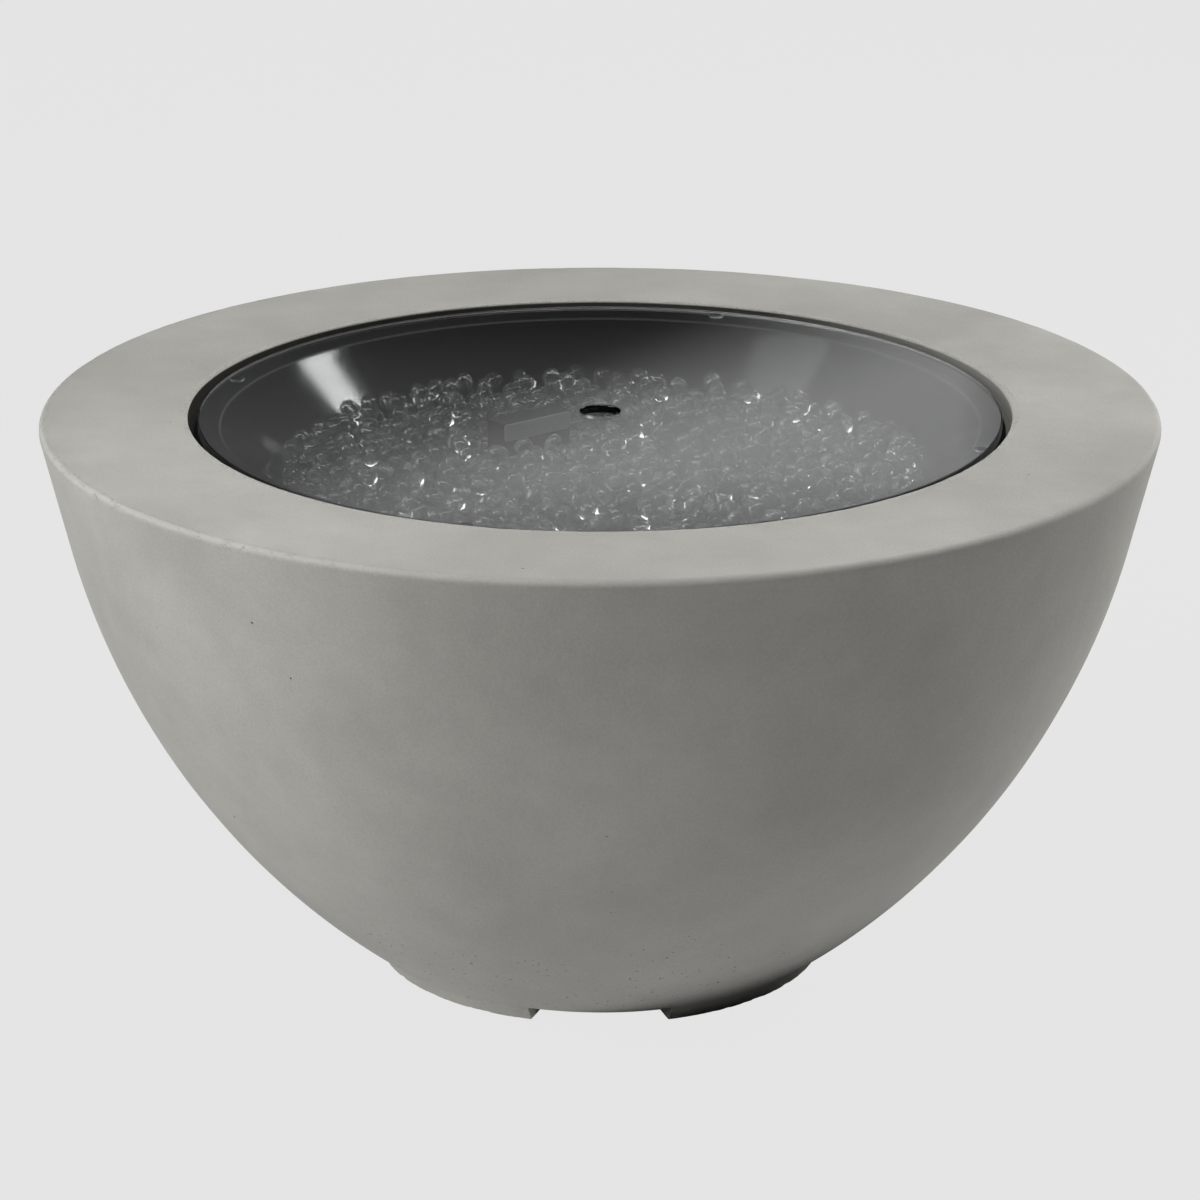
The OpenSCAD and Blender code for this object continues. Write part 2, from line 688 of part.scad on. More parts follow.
// The cast concrete bowl, in rings that meet face to face: rim, three wall rings, floor and foot
module bowl_section() {
    difference() {
        bowl_outline();
        hollow_outline();
        intersection() {
            opening_outline();
            translate([0, rim_under_z - lap]) square([bowl_r, bowl_h]);
        }
        translate([0, foot_h - past]) square([foot_r - foot_w, past]);
        square([floor_hole_r, bowl_h]);
    }
}
module bowl_ring(z0, z1) {
    color("#9c9b97")
    difference() {
        rotate_extrude($fn = 180)
            intersection() {
                bowl_section();
                translate([0, z0]) square([bowl_r + past, z1 - z0]);
            }
        children();
    }
}
module bowl_rim() {
    bowl_ring(rim_under_z, bowl_h);
}
module bowl_upper_wall() {
    bowl_ring(upper_wall_z, rim_under_z)
        on_panel() {
            rounded_plate(panel_w + 4 * seat_gap, panel_h + 4 * seat_gap, panel_round, panel_back, past);
            translate([0, 0, panel_back - 2 * past])
                linear_extrude(3 * past)
                    square([panel_w - 2 * panel_ledge, panel_h - 2 * panel_ledge], center = true);
            at_corners(panel_screw_at) disc(insert_r, panel_back - insert_l, 0);
        }
}
module bowl_middle_wall() {
    bowl_ring(middle_wall_z, upper_wall_z);
}
module bowl_lower_wall() {
    bowl_ring(floor_top_z, middle_wall_z);
}
module bowl_floor() {
    bowl_ring(foot_h, floor_top_z);
}
module bowl_foot() {
    bowl_ring(0, foot_h) foot_notches();
}
module foot_notches() {
    reach = foot_r + past;
    half = reach * tan(notch_angle / 2);
    for (side = [0, 180])
        rotate([0, 0, side])
            translate([0, 0, -past])
                linear_extrude(foot_h + past)
                    polygon([[0, 0], [-half, -reach], [half, -reach]]);
}

// The glass cover with its finger hole, and the clear bumpers under it
module glass_cover() {
    color("#9fa5a6", 0.45)
    rotate_extrude($fn = 180) {
        translate([finger_hole_r, cover_under_z + cover_round])
            square([cover_r - finger_hole_r, cover_t - 2 * cover_round]);
        translate([finger_hole_r + cover_round, cover_under_z])
            square([cover_r - finger_hole_r - 2 * cover_round, cover_t]);
        for (r = [finger_hole_r + cover_round, cover_r - cover_round],
                z = [cover_under_z + cover_round, cover_top_z - cover_round])
            translate([r, z]) circle(cover_round, $fn = 32);
    }
}
module cover_bumpers() {
    color("#c9cccc", 0.7)
    for (i = [0:3])
        rotate([0, 0, bumper_angle + 90 * i])
            translate([bumper_place_r, 0, 0])
                disc(bumper_r, cover_under_z - bumper_t, cover_under_z);
}

// The stainless pan that drops into the opening: floor, sloping wall and flange, welded edge to edge
module pan_sheet(outline) {
    color("#8e9191") rotate_extrude($fn = 180) polygon(outline);
}
module burner_pan_floor() {
    color("#8e9191")
    difference() {
        pan_sheet([[0, pan_floor_z], [pan_floor_r, pan_floor_z], [pan_floor_r + pan_corner, under_pan_z],
            [0, under_pan_z]]);
        disc(pipe_r + hole_gap, under_pan_z - past, pan_floor_z + past / 2);
        for (i = [0:weep_count - 1])
            rotate([0, 0, 360 * i / weep_count])
                translate([weep_place_r, 0, 0]) disc(weep_r, under_pan_z - past, pan_floor_z + past / 2);
        at_pilot() pilot_holes(under_pan_z - past, pan_floor_z + past / 2);
    }
}
module burner_pan_wall() {
    pan_sheet([[pan_floor_r, pan_floor_z], [pan_r, flange_z], [pan_r + pan_corner, ledge_z],
        [pan_floor_r + pan_corner, under_pan_z]]);
}
module burner_pan_flange() {
    pan_sheet([[pan_r, flange_z], [pan_flange_r, flange_z], [pan_flange_r, ledge_z],
        [pan_r + pan_corner, ledge_z]]);
}
// The holes that the pilot's pieces share, from one height to another
module pilot_holes(z0, z1) {
    for (side = [-1, 1]) {
        translate([0, side * hood_screw_at, 0]) disc(pilot_screw_r + hole_gap, z0, z1);
        translate([0, side * bracket_screw_at, 0]) disc(pilot_screw_r + hole_gap, z0, z1);
    }
    translate([0, sensor_off, 0]) disc(insulator_r + hole_gap, z0, z1);
    translate([0, -sensor_off, 0]) disc(thermocouple_r + hole_gap, z0, z1);
}

// The burner: a ring of tube with gas ports, spokes, a hub and the inlet pipe
module spokes(r, start, reach) {
    for (i = [0:spoke_count - 1])
        rotate([0, 0, hood_angle + 180 / spoke_count + 360 * i / spoke_count])
            translate([start, 0, ring_z])
                rotate([0, 90, 0])
                    cylinder(r = r, h = reach - start);
}
module ring_tube(r) {
    translate([0, 0, ring_z])
        rotate_extrude($fn = 180)
            translate([ring_r, 0]) circle(r);
}
module burner_ring() {
    color("#83878a")
    difference() {
        union() {
            ring_tube(ring_tube_r);
            spokes(spoke_r, hub_r / 2, ring_r);
            disc(hub_r, pan_floor_z, pan_floor_z + hub_h);
            disc(pipe_r, pipe_end_z, pan_floor_z + lap);
        }
        ring_tube(ring_bore_r);
        spokes(spoke_r - tube_wall, hub_r / 2, ring_r);
        disc(hub_r - 2 * tube_wall, pan_floor_z + 2 * tube_wall, pan_floor_z + hub_h - tube_wall);
        disc(pipe_r - 2 * tube_wall, pipe_end_z - past, pan_floor_z + hub_h / 2);
        for (i = [0:port_count - 1])
            rotate([0, 0, 360 * (i + 0.5) / port_count])
                translate([ring_r, 0, ring_z])
                    rotate([0, port_lean, 0])
                        cylinder(r = port_r, h = ring_tube_r + 5);
    }
}
module burner_washer() {
    color("#b9bbbb")
    difference() {
        disc(washer_r, under_pan_z - washer_t, under_pan_z);
        disc(pipe_r + hole_gap, under_pan_z - past, under_pan_z + past);
    }
}
module burner_lock_nut() {
    top = under_pan_z - washer_t;
    color("#b08d4a")
    difference() {
        hexagon(lock_nut_flats, top - lock_nut_h, top);
        disc(pipe_r + hole_gap, top - past, top + past);
    }
}
module air_mixer() {
    hole_z = (mixer_end_z + mixer_wall + pipe_end_z) / 2;
    color("#a9abab")
    difference() {
        disc(mixer_r, mixer_end_z, mixer_top_z);
        disc(pipe_r + hole_gap, pipe_end_z, mixer_top_z + past);
        disc(pipe_r - tube_wall, mixer_end_z + mixer_wall + lap, pipe_end_z + lap);
        disc(fitting_shank_r + hole_gap, mixer_end_z - past, mixer_end_z + mixer_wall + 2 * lap);
        for (i = [0:air_hole_count - 1])
            rotate([0, 0, 45 + 360 * i / air_hole_count])
                translate([air_hole_r + lap, 0, hole_z])
                    rotate([0, 90, 0])
                        cylinder(r = air_hole_r, h = mixer_r + past);
    }
}
// A brass fitting that points down: a shank, a hexagon and a flare thread, drilled through
module flare_fitting(jet) {
    difference() {
        union() {
            disc(fitting_shank_r, -lap, fitting_shank_l);
            hexagon(fitting_flats, -fitting_hex_h, 0);
            disc(flare_r, -fitting_hex_h - flare_l, -fitting_hex_h + lap);
        }
        disc(gas_bore_r, -fitting_hex_h - flare_l - past, fitting_shank_l - bore_end);
        disc(jet, 0, fitting_shank_l + past);
    }
}
module gas_orifice() {
    color("#b9954f")
    translate([0, 0, mixer_end_z]) flare_fitting(jet_r);
}

// The flexible gas line, with a nut at each end
module flex_line() {
    color("#c2b04a") sweep(curve(flex_route, 4), flex_r, 10, [1, 0, 0]);
}
// A flare nut that hangs over a thread's end at z = 0 and lets the line out below
module flex_nut() {
    grip = flare_l - bore_end;
    difference() {
        hexagon(flex_nut_flats, grip - flex_nut_l, grip);
        disc(flare_r + run_gap, 0, grip + past);
        disc(flex_r + hole_gap, grip - flex_nut_l - past, past);
    }
}
module flex_nuts() {
    color("#b9954f") {
        translate([0, 0, orifice_end_z]) flex_nut();
        on_panel(-valve_off)
            translate([-outlet_end, 0, port_at])
                rotate([0, 90, 0]) flex_nut();
    }
}

// The control panel, with its screws and the inserts in the concrete
module control_panel() {
    color("#a3a6a7")
    on_panel()
    difference() {
        rounded_plate(panel_w, panel_h, panel_round, panel_back, -panel_sink);
        translate([-valve_off, 0, 0]) {
            disc(neck_r + hole_gap, panel_back - past, past);
            for (side = [-1, 1])
                translate([0, side * valve_screw_gap / 2, 0])
                    disc(valve_screw_r + hole_gap, panel_back - past, past);
        }
        translate([igniter_off, 0, 0]) disc(barrel_r + hole_gap, panel_back - past, past);
        at_corners(panel_screw_at) disc(panel_screw_r + hole_gap, panel_back - past, past);
    }
}
module panel_screws() {
    color("#c4c6c6")
    on_panel()
    at_corners(panel_screw_at)
    translate([0, 0, -panel_sink])
        screw(panel_screw_r, panel_screw_l, panel_head_r, panel_head_h);
}
module panel_inserts() {
    color("#b9954f")
    on_panel()
    at_corners(panel_screw_at)
    difference() {
        disc(insert_r - run_gap, panel_back - insert_l, panel_back);
        disc(panel_screw_r + hole_gap / 2, panel_back - insert_l + insert_end, past);
    }
}

// The gas valve: body, taper plug, spring and stem on one axis, with the inlet at its tail
module gas_valve() {
    color("#b79a58")
    on_panel(-valve_off)
    difference() {
        union() {
            rounded_plate(valve_flange_w, valve_flange_h, panel_round, valve_face, panel_back);
            disc(valve_r, valve_end, valve_face + lap);
            disc(neck_r, panel_back - lap, neck_front);
            translate([0, 0, port_at]) {
                rotate([0, -90, 0]) {
                    disc(outlet_r, 0, outlet_reach);
                    disc(flare_r, outlet_reach - lap, outlet_end);
                }
                rotate([-90, 0, 0]) disc(sensor_boss_r, 0, sensor_reach);
            }
        }
        disc(stem_r + run_gap, chamber_front - lap, neck_front + past);
        disc(chamber_r, chamber_end, chamber_front);
        translate([0, 0, plug_end])
            cylinder(r1 = plug_r - plug_taper + run_gap, r2 = plug_r + run_gap, h = plug_l + seat_gap + lap);
        disc(fitting_shank_r + hole_gap, valve_end - past, valve_end + fitting_shank_l + seat_gap);
        disc(gas_bore_r, valve_end - past, plug_end + lap);
        translate([0, 0, port_at]) {
            rotate([0, -90, 0]) disc(outlet_bore_r, 0, outlet_end + past);
            rotate([-90, 0, 0]) disc(sensor_lead_r + hole_gap, valve_r - 3, sensor_reach + past);
        }
        for (side = [-1, 1])
            translate([0, side * valve_screw_gap / 2, 0])
                disc(valve_screw_r + hole_gap / 2, valve_face - past / 2, past);
    }
}
module valve_screws() {
    color("#c4c6c6")
    on_panel(-valve_off)
    for (side = [-1, 1])
        translate([0, side * valve_screw_gap / 2, -panel_sink])
            screw(valve_screw_r, panel_t + valve_flange_t, valve_head_r, valve_head_h);
}
module inlet_fitting() {
    color("#b9954f")
    on_panel(-valve_off)
    translate([0, 0, valve_end]) flare_fitting(gas_bore_r);
}
module valve_plug() {
    color("#a98845")
    on_panel(-valve_off)
    difference() {
        translate([0, 0, plug_end]) cylinder(r1 = plug_r - plug_taper, r2 = plug_r, h = plug_l);
        translate([0, 0, plug_front])
            cube([tongue_w + 2 * hole_gap, tongue_t + 2 * hole_gap, 2 * slot_depth], center = true);
        disc(plug_bore_r, plug_end - past, port_at + plug_port_r + lap);
        translate([0, 0, port_at]) rotate([-90, 0, 0]) disc(plug_port_r, 0, plug_r + past);
    }
}
module stem_spring() {
    color("#c4c6c6")
    on_panel(-valve_off)
    translate([0, 0, plug_front + seat_gap])
        coil((stem_r + chamber_r) / 2 - 0.4, collar_back - plug_front - 2 * seat_gap, stem_spring_turns);
}
module valve_stem() {
    color("#b4b6b6")
    on_panel(-valve_off)
    difference() {
        union() {
            disc(stem_r, collar_front - lap, stem_end);
            disc(collar_r, collar_back, collar_front);
            disc(stem_r - stem_step, tongue_root, collar_back + lap);
            translate([-tongue_w / 2, -tongue_t / 2, tongue_end])
                cube([tongue_w, tongue_t, tongue_root - tongue_end + lap]);
        }
        translate([-stem_r, stem_r - stem_flat, knob_web]) cube([2 * stem_r, stem_r, knob_h]);
    }
}
module control_knob() {
    color("#26282a")
    on_panel(-valve_off)
    difference() {
        union() {
            disc(knob_r, knob_back, knob_front - knob_chamfer);
            translate([0, 0, knob_front - knob_chamfer])
                cylinder(r1 = knob_r, r2 = knob_r - knob_chamfer, h = knob_chamfer);
            translate([-pointer_w / 2, knob_r - 2 * knob_chamfer - pointer_l, knob_front - lap])
                cube([pointer_w, pointer_l, lap + pointer_t]);
        }
        disc(knob_r - knob_wall, knob_back - past, knob_web);
        difference() {
            disc(stem_r + run_gap, knob_web - past, stem_end + run_gap);
            translate([-stem_r - 1, stem_r - stem_flat + run_gap, knob_web - lap])
                cube([2 * stem_r + 2, stem_r, knob_h]);
        }
        for (i = [0:flute_count - 1])
            rotate([0, 0, 360 * (i + 0.5) / flute_count])
                translate([knob_r + flute_r - flute_depth, 0, 0])
                    disc(flute_r, knob_back + flute_start, knob_front + past);
        translate([0, 0, set_screw_at])
            rotate([-90, 0, 0]) disc(set_screw_r + hole_gap / 2, 0, past);
    }
}
module knob_set_screw() {
    color("#3a3c3e")
    on_panel(-valve_off)
    translate([0, 0, set_screw_at])
        rotate([-90, 0, 0])
            translate([0, 0, stem_r - stem_flat + 3 * run_gap])
                difference() {
                    disc(set_screw_r, 0, set_screw_l);
                    hexagon(set_screw_r, set_screw_l - bore_end, set_screw_l + past);
                }
}

// The push-button igniter with its battery
module igniter_barrel() {
    color("#2b2d2f")
    on_panel(igniter_off)
    difference() {
        union() {
            disc(bezel_r, -panel_sink, bezel_front);
            disc(barrel_r, barrel_tail, -panel_sink + lap);
            disc(terminal_r, barrel_tail - terminal_l, barrel_tail + lap);
        }
        disc(button_r + run_gap, button_seat, past);
        disc(battery_r + hole_gap, barrel_tail + barrel_end, button_seat + lap);
    }
}
module igniter_nut() {
    color("#3a3c3e")
    on_panel(igniter_off)
    difference() {
        disc(barrel_nut_r, panel_back - barrel_nut_h, panel_back);
        disc(barrel_r + hole_gap, panel_back - past, past);
        for (i = [0:nut_notch_count - 1])
            rotate([0, 0, 360 * i / nut_notch_count])
                translate([barrel_nut_r + 2 * lap, 0, 0]) disc(nut_notch_r, panel_back - past, past);
    }
}
module igniter_button() {
    color("#1f2022")
    on_panel(igniter_off) {
        disc(button_r, button_back, button_front - button_chamfer);
        translate([0, 0, button_front - button_chamfer])
            cylinder(r1 = button_r, r2 = button_r - button_chamfer, h = button_chamfer);
    }
}
module igniter_spring() {
    color("#c4c6c6")
    on_panel(igniter_off)
    translate([0, 0, battery_shoulder + seat_gap])
        coil(battery_r - 2, button_back - battery_shoulder - 2 * seat_gap, igniter_spring_turns);
}
module igniter_battery() {
    color("#b7a24c")
    on_panel(igniter_off) {
        disc(battery_r, battery_bottom, battery_shoulder);
        disc(battery_nub_r, battery_shoulder - lap, battery_top);
    }
}
module ignition_lead() {
    color("#b5482f") sweep(curve(ignition_route, 3), ignition_lead_r, 8, [1, 0, 0]);
}

// The pilot: electrode, thermocouple and bracket under a sheet hood
module electrode_insulator() {
    color("#e6e2d8")
    at_pilot()
    translate([0, sensor_off, 0])
    difference() {
        union() {
            disc(insulator_r, insulator_foot_z + bore_end, pan_floor_z + insulator_h);
            translate([0, 0, pan_floor_z + bracket_t])
                cylinder(r = insulator_r + insulator_collar_w, h = insulator_collar_h);
        }
        disc(electrode_r + run_gap, insulator_foot_z - past, pan_floor_z + insulator_h + past);
    }
}
module spark_electrode() {
    color("#9a9c9d")
    at_pilot()
    translate([0, sensor_off, 0]) {
        disc(electrode_r, insulator_foot_z, pan_floor_z + electrode_h);
        translate([0, 0, pan_floor_z + electrode_h]) sphere(electrode_r, $fn = 32);
        translate([0, 0, pan_floor_z + electrode_h])
            rotate([0, 90, 0]) disc(electrode_r, 0, electrode_reach);
    }
}
module thermocouple() {
    color("#b9793f")
    at_pilot()
    translate([0, -sensor_off, 0]) {
        disc(thermocouple_r, thermocouple_foot_z, pan_floor_z + thermocouple_h - thermocouple_r);
        translate([0, 0, pan_floor_z + thermocouple_h - thermocouple_r]) sphere(thermocouple_r, $fn = 32);
        disc(shoulder_r, pan_floor_z + bracket_t, pan_floor_z + bracket_t + shoulder_t);
    }
}
module thermocouple_lead() {
    color("#b5713a") sweep(curve(sensor_route, 3), sensor_lead_r, 8, [1, 0, 0]);
}
module thermocouple_nut() {
    color("#b9954f")
    on_panel(-valve_off)
    translate([0, 0, port_at])
        rotate([-90, 0, 0])
            difference() {
                hexagon(sensor_nut_flats, sensor_reach, sensor_nut_end);
                disc(sensor_lead_r + hole_gap, sensor_nut_end - bore_end, sensor_nut_end + past);
            }
}
module pilot_bracket() {
    color("#9b9e9f")
    at_pilot()
    difference() {
        translate([-bracket_w / 2, -bracket_l / 2, pan_floor_z]) cube([bracket_w, bracket_l, bracket_t]);
        pilot_holes(pan_floor_z - past, pan_floor_z + past);
    }
}
module pilot_hood() {
    color("#8d9090")
    at_pilot()
    difference() {
        union() {
            translate([-hood_w / 2, -hood_l / 2, pan_floor_z]) cube([hood_w, hood_l, hood_h]);
            translate([-hood_w / 2, -hood_l / 2 - hood_foot_l, pan_floor_z])
                cube([hood_w, hood_l + 2 * hood_foot_l, hood_t]);
        }
        translate([-hood_w / 2 + hood_t, -hood_l / 2 + hood_t, pan_floor_z - past])
            cube([hood_w + past, hood_l - 2 * hood_t, hood_h - hood_t + past]);
        pilot_holes(pan_floor_z - past, pan_floor_z + hood_t + lap);
    }
}
module pilot_screws() {
    color("#c4c6c6")
    at_pilot()
    for (side = [-1, 1]) {
        translate([0, side * hood_screw_at, pan_floor_z + hood_t])
            screw(pilot_screw_r, hood_t + pilot_reach, pilot_head_r, pilot_head_h);
        translate([0, side * bracket_screw_at, pan_floor_z + bracket_t])
            screw(pilot_screw_r, bracket_t + pilot_reach, pilot_head_r, pilot_head_h);
    }
}
module pilot_nuts() {
    color("#b9bbbb")
    at_pilot()
    for (side = [-1, 1], y = [hood_screw_at, bracket_screw_at])
        translate([0, side * y, 0])
            difference() {
                hexagon(pilot_nut_flats, under_pan_z - pilot_nut_h, under_pan_z);
                disc(pilot_screw_r + run_gap, under_pan_z - past, under_pan_z + past);
            }
}

// The fire glass: a bed that fills the pan round the burner, and the gems that lie on it
module fire_glass_bed() {
    bottom_r = pan_floor_r - 2 * seat_gap;
    color("#6f7375")
    difference() {
        rotate_extrude($fn = 180)
            polygon([[0, pan_floor_z + seat_gap], [bottom_r, pan_floor_z + seat_gap], [bed_edge_r, bed_edge_z],
                [0, bed_middle_z]]);
        ring_tube(ring_tube_r + seat_gap);
        spokes(spoke_r + seat_gap, 0, ring_r);
        disc(hub_r + seat_gap, pan_floor_z - past, pan_floor_z + hub_h + seat_gap);
        at_pilot() {
            translate([-hood_w / 2 - seat_gap, -hood_l / 2 - seat_gap, pan_floor_z - past])
                cube([hood_w + 2 * seat_gap, hood_l + 2 * seat_gap, 3 * past]);
            translate([-hood_w / 2 - seat_gap, -hood_l / 2 - hood_foot_l - seat_gap, pan_floor_z - past])
                cube([hood_w + 2 * seat_gap, hood_l + 2 * hood_foot_l + 2 * seat_gap,
                    past + hood_t + pilot_head_h + seat_gap]);
        }
    }
}
golden_turn = 137.508;
function gem_place(i) = gem_pitch * sqrt(i + 0.5) * [cos(golden_turn * i), sin(golden_turn * i)];
// A gem stands clear of the hood when it lies outside the hood's own rectangle
function clear_of_hood(p) =
    let (out = p.x * cos(hood_angle) + p.y * sin(hood_angle) - hood_place_r,
        along = p.y * cos(hood_angle) - p.x * sin(hood_angle))
    max(abs(out) - hood_w / 2, abs(along) - hood_l / 2) > gem_r + seat_gap;
gem_count = floor(pow((bed_edge_r - gem_r / 2) / gem_pitch, 2));
module fire_glass_gems() {
    color("#dfe4e5", 0.6)
    for (i = [0:gem_count - 1])
        let (p = gem_place(i))
            if (clear_of_hood(p))
                translate([p.x, p.y, bed_top(norm(p)) + gem_r + seat_gap]) sphere(gem_r, $fn = 24);
}

bowl_rim();
bowl_upper_wall();
bowl_middle_wall();
bowl_lower_wall();
bowl_floor();
bowl_foot();
burner_pan_floor();
burner_pan_wall();
burner_pan_flange();
burner_ring();
burner_washer();
burner_lock_nut();
air_mixer();
gas_orifice();
flex_line();
flex_nuts();
control_panel();
panel_screws();
panel_inserts();
gas_valve();
valve_screws();
inlet_fitting();
valve_plug();
stem_spring();
valve_stem();
control_knob();
knob_set_screw();
igniter_barrel();
igniter_nut();
igniter_button();
igniter_spring();
igniter_battery();
ignition_lead();
electrode_insulator();
spark_electrode();
thermocouple();
thermocouple_lead();
thermocouple_nut();
pilot_bracket();
pilot_hood();
pilot_screws();
pilot_nuts();
fire_glass_bed();
fire_glass_gems();
glass_cover();
cover_bumpers();
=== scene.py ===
"""Looks of a gas fire pit bowl: cast concrete, a steel burner pan, clear fire glass and a glass cover."""

import math

import bmesh
import bpy
import numpy as np
from bpy.props import FloatProperty, FloatVectorProperty, IntProperty, PointerProperty
from mathutils import Matrix, Vector


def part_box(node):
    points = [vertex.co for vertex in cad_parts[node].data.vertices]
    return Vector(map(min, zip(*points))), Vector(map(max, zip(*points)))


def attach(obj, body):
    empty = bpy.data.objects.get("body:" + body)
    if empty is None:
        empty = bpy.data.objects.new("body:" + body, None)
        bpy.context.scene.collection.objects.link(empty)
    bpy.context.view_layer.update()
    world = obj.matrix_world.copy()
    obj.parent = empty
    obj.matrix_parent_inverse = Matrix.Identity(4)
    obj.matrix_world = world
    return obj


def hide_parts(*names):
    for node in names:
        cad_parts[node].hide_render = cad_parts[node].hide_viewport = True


bl_info = {
    "name": "Gas Fire Pit Bowl",
    "version": (1, 0, 0),
    "blender": (4, 5, 0),
    "location": "View3D > Sidebar > Fire Pit",
    "description": "Dresses the CAD frame of a gas fire pit bowl and sets it in a plain studio",
    "category": "Object",
}

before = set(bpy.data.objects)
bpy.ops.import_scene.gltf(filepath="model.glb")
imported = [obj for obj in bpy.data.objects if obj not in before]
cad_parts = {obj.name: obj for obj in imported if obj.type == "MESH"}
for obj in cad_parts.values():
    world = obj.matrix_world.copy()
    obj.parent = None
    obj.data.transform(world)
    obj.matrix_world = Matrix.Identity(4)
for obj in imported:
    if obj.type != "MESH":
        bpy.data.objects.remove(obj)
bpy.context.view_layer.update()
MM = 0.001

# The CAD rings of the bowl and sheets of the pan
BOWL_RINGS = ("bowl_rim", "bowl_upper_wall", "bowl_middle_wall",
              "bowl_lower_wall", "bowl_floor", "bowl_foot")
PAN_SHEETS = ("burner_pan_floor", "burner_pan_wall", "burner_pan_flange")

# Node kinds that come up most
NOISE = "ShaderNodeTexNoise"
RANGE = "ShaderNodeMapRange"
MATH = "ShaderNodeMath"
VECTOR = "ShaderNodeVectorMath"
MIX = "ShaderNodeMix"
BUMP = "ShaderNodeBump"

# Sizes of the pieces, in metres; the lip's and the foot's rounding and the toe are finer than in the solids
RIM_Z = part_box("bowl_rim")[1].z
RIM_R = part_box("bowl_rim")[1].x
RIM_ROUND = 4.5 * MM
LIP_ROUND = 1 * MM
OPENING_R = 273 * MM
RIM_UNDER_Z = RIM_Z - 36 * MM
LEDGE_Z = 367.75 * MM
LEDGE_R = 258 * MM
FLANK_LEAN = math.radians(13.5)
BEND_R = 353.96 * MM
BEND_Z = RIM_Z - 76 * MM
FLANK_ARC_R = 506.183 * MM
WALL = 24 * MM
FLOOR_TOP_Z = 36 * MM
FLOOR_HOLE_R = 90 * MM
FOOT_R = 155 * MM
FOOT_W = 35 * MM
FOOT_H = 11 * MM
FOOT_ROUND = 2 * MM
FOOT_TOE_R = 151.4 * MM
NOTCH_HALF_ANGLE = math.radians(17.5)
SWARM_AT = (-45 * MM, -165 * MM, 22 * MM)
CHIP_SIZE = 11 * MM
# Share of the chip depth that each edge of the bowl takes
RIM_CHIP = 0.12
LIP_CHIP = 0.1
FOOT_CHIP = 0.3
NOTCH_CHIP = 0.9
PAN_R = 254 * MM
PAN_FLANGE_R = 269 * MM
PAN_FLOOR_R = 179 * MM
PAN_T = 1.5 * MM
FLANGE_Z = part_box("burner_pan_flange")[1].z
PAN_FLOOR_Z = FLANGE_Z - 65.5 * MM
PAN_BEND = 3 * MM
PIPE_HOLE_R = 10.85 * MM
WEEP_HOLES = 6
WEEP_RING_R = 150 * MM
WEEP_R = 4 * MM
# Holes for the pilot, in millimetres: place along the hood, and radius
PILOT_HOLES = ((35, 2.1), (-35, 2.1), (20.9, 2.1), (-20.9, 2.1), (11, 3.7), (-11, 2.6))
FINGER_HOLE_R = 13 * MM
GLASS_ROUND = 1 * MM
BUMPER_COUNT = 4
BUMPER_RING_R = 260.5 * MM
BUMPER_TURN = math.radians(-18.5)
BED_EDGE_R = 204 * MM
BED_EDGE_Z = RIM_Z - 54 * MM
BED_MIDDLE_Z = RIM_Z - 48 * MM
HOOD_PLACE_R = 77 * MM
HOOD_ANGLE = math.radians(128.7)
HOOD_HALF = (9 * MM, 28.5 * MM)
HOOD_LIP_H = 12 * MM
HOOD_LIP_T = 0.9 * MM
PANEL_LEAN = math.radians(21.7008)
PANEL_AT = Vector((0, 332.074 * MM, 235 * MM))
PANEL_SIZE = (135 * MM, 91 * MM)
PANEL_SINK = 10 * MM
PANEL_T = 2 * MM
PANEL_ROOM = 1 * MM
PANEL_REBATE = 23 * MM
VALVE_X = -26 * MM
KNOB_FRONT = 14 * MM
POINTER_UP = 11.75 * MM
CAMERA_AT = (0, -3.194, 1.3067)
CAMERA_TILT = math.radians(71.61)
# The control panel's own frame: across, up the flank, and out of the bowl
PANEL_FRAME = Matrix.Translation(PANEL_AT) @ Matrix((
    (-1, 0, 0, 0),
    (0, math.sin(PANEL_LEAN), math.cos(PANEL_LEAN), 0),
    (0, math.cos(PANEL_LEAN), -math.sin(PANEL_LEAN), 0),
    (0, 0, 0, 1),
))

# Routes of the gas line and the two leads, in millimetres, as in the part's source
GAS_ROUTE = (
    (0, 0, 205.5), (0, 0, 199.75), (0, 0, 192.75), (0, 0, 183.75), (3, 3.5, 166.25), (12, 13, 153.75),
    (24, 26, 148.75), (48, 54, 146.75), (76, 94, 151.75), (102, 145, 167.75), (118, 195, 187.75),
    (123, 232, 205.75), (123, 256.5, 230.75), (118.5, 269, 243.25), (105.7, 278.3, 251.75),
    (88, 281.668, 255.059), (79, 281.668, 255.059), (72, 281.668, 255.059), (66.25, 281.668, 255.059))
IGNITION_ROUTE = (
    (-30, 254.724, 265.782), (-30, 251.24, 267.169), (-30, 246.594, 269.018), (-30.3, 236, 272.55),
    (-31.5, 215, 276.25), (-35, 185, 275.75), (-40, 150, 272.25), (-46, 118, 269.25), (-52, 90, 268.25),
    (-55.5, 68.2, 269.45), (-56.2, 60.7, 271.45), (-56.6, 55.2, 276.95), (-56.728, 53.216, 284.75),
    (-56.728, 53.216, 289.75), (-56.728, 53.216, 293.5))
SENSOR_ROUTE = (
    (26, 291.744, 280.378), (26, 293.131, 283.862), (26, 294.98, 288.508), (25.8, 295.8, 295.55),
    (25.1, 292.4, 300.65), (24.2, 285.7, 302.45), (21.5, 268, 301.45), (17, 245, 295.95), (10, 218, 287.45),
    (0, 185, 277.95), (-12, 148, 270.45), (-24, 115, 267.95), (-35, 81.2, 267.75), (-37.4, 74.1, 269.75),
    (-39, 68.9, 275.25), (-39.559, 66.971, 282.75), (-39.559, 66.971, 287.75), (-39.559, 66.971, 291.5))


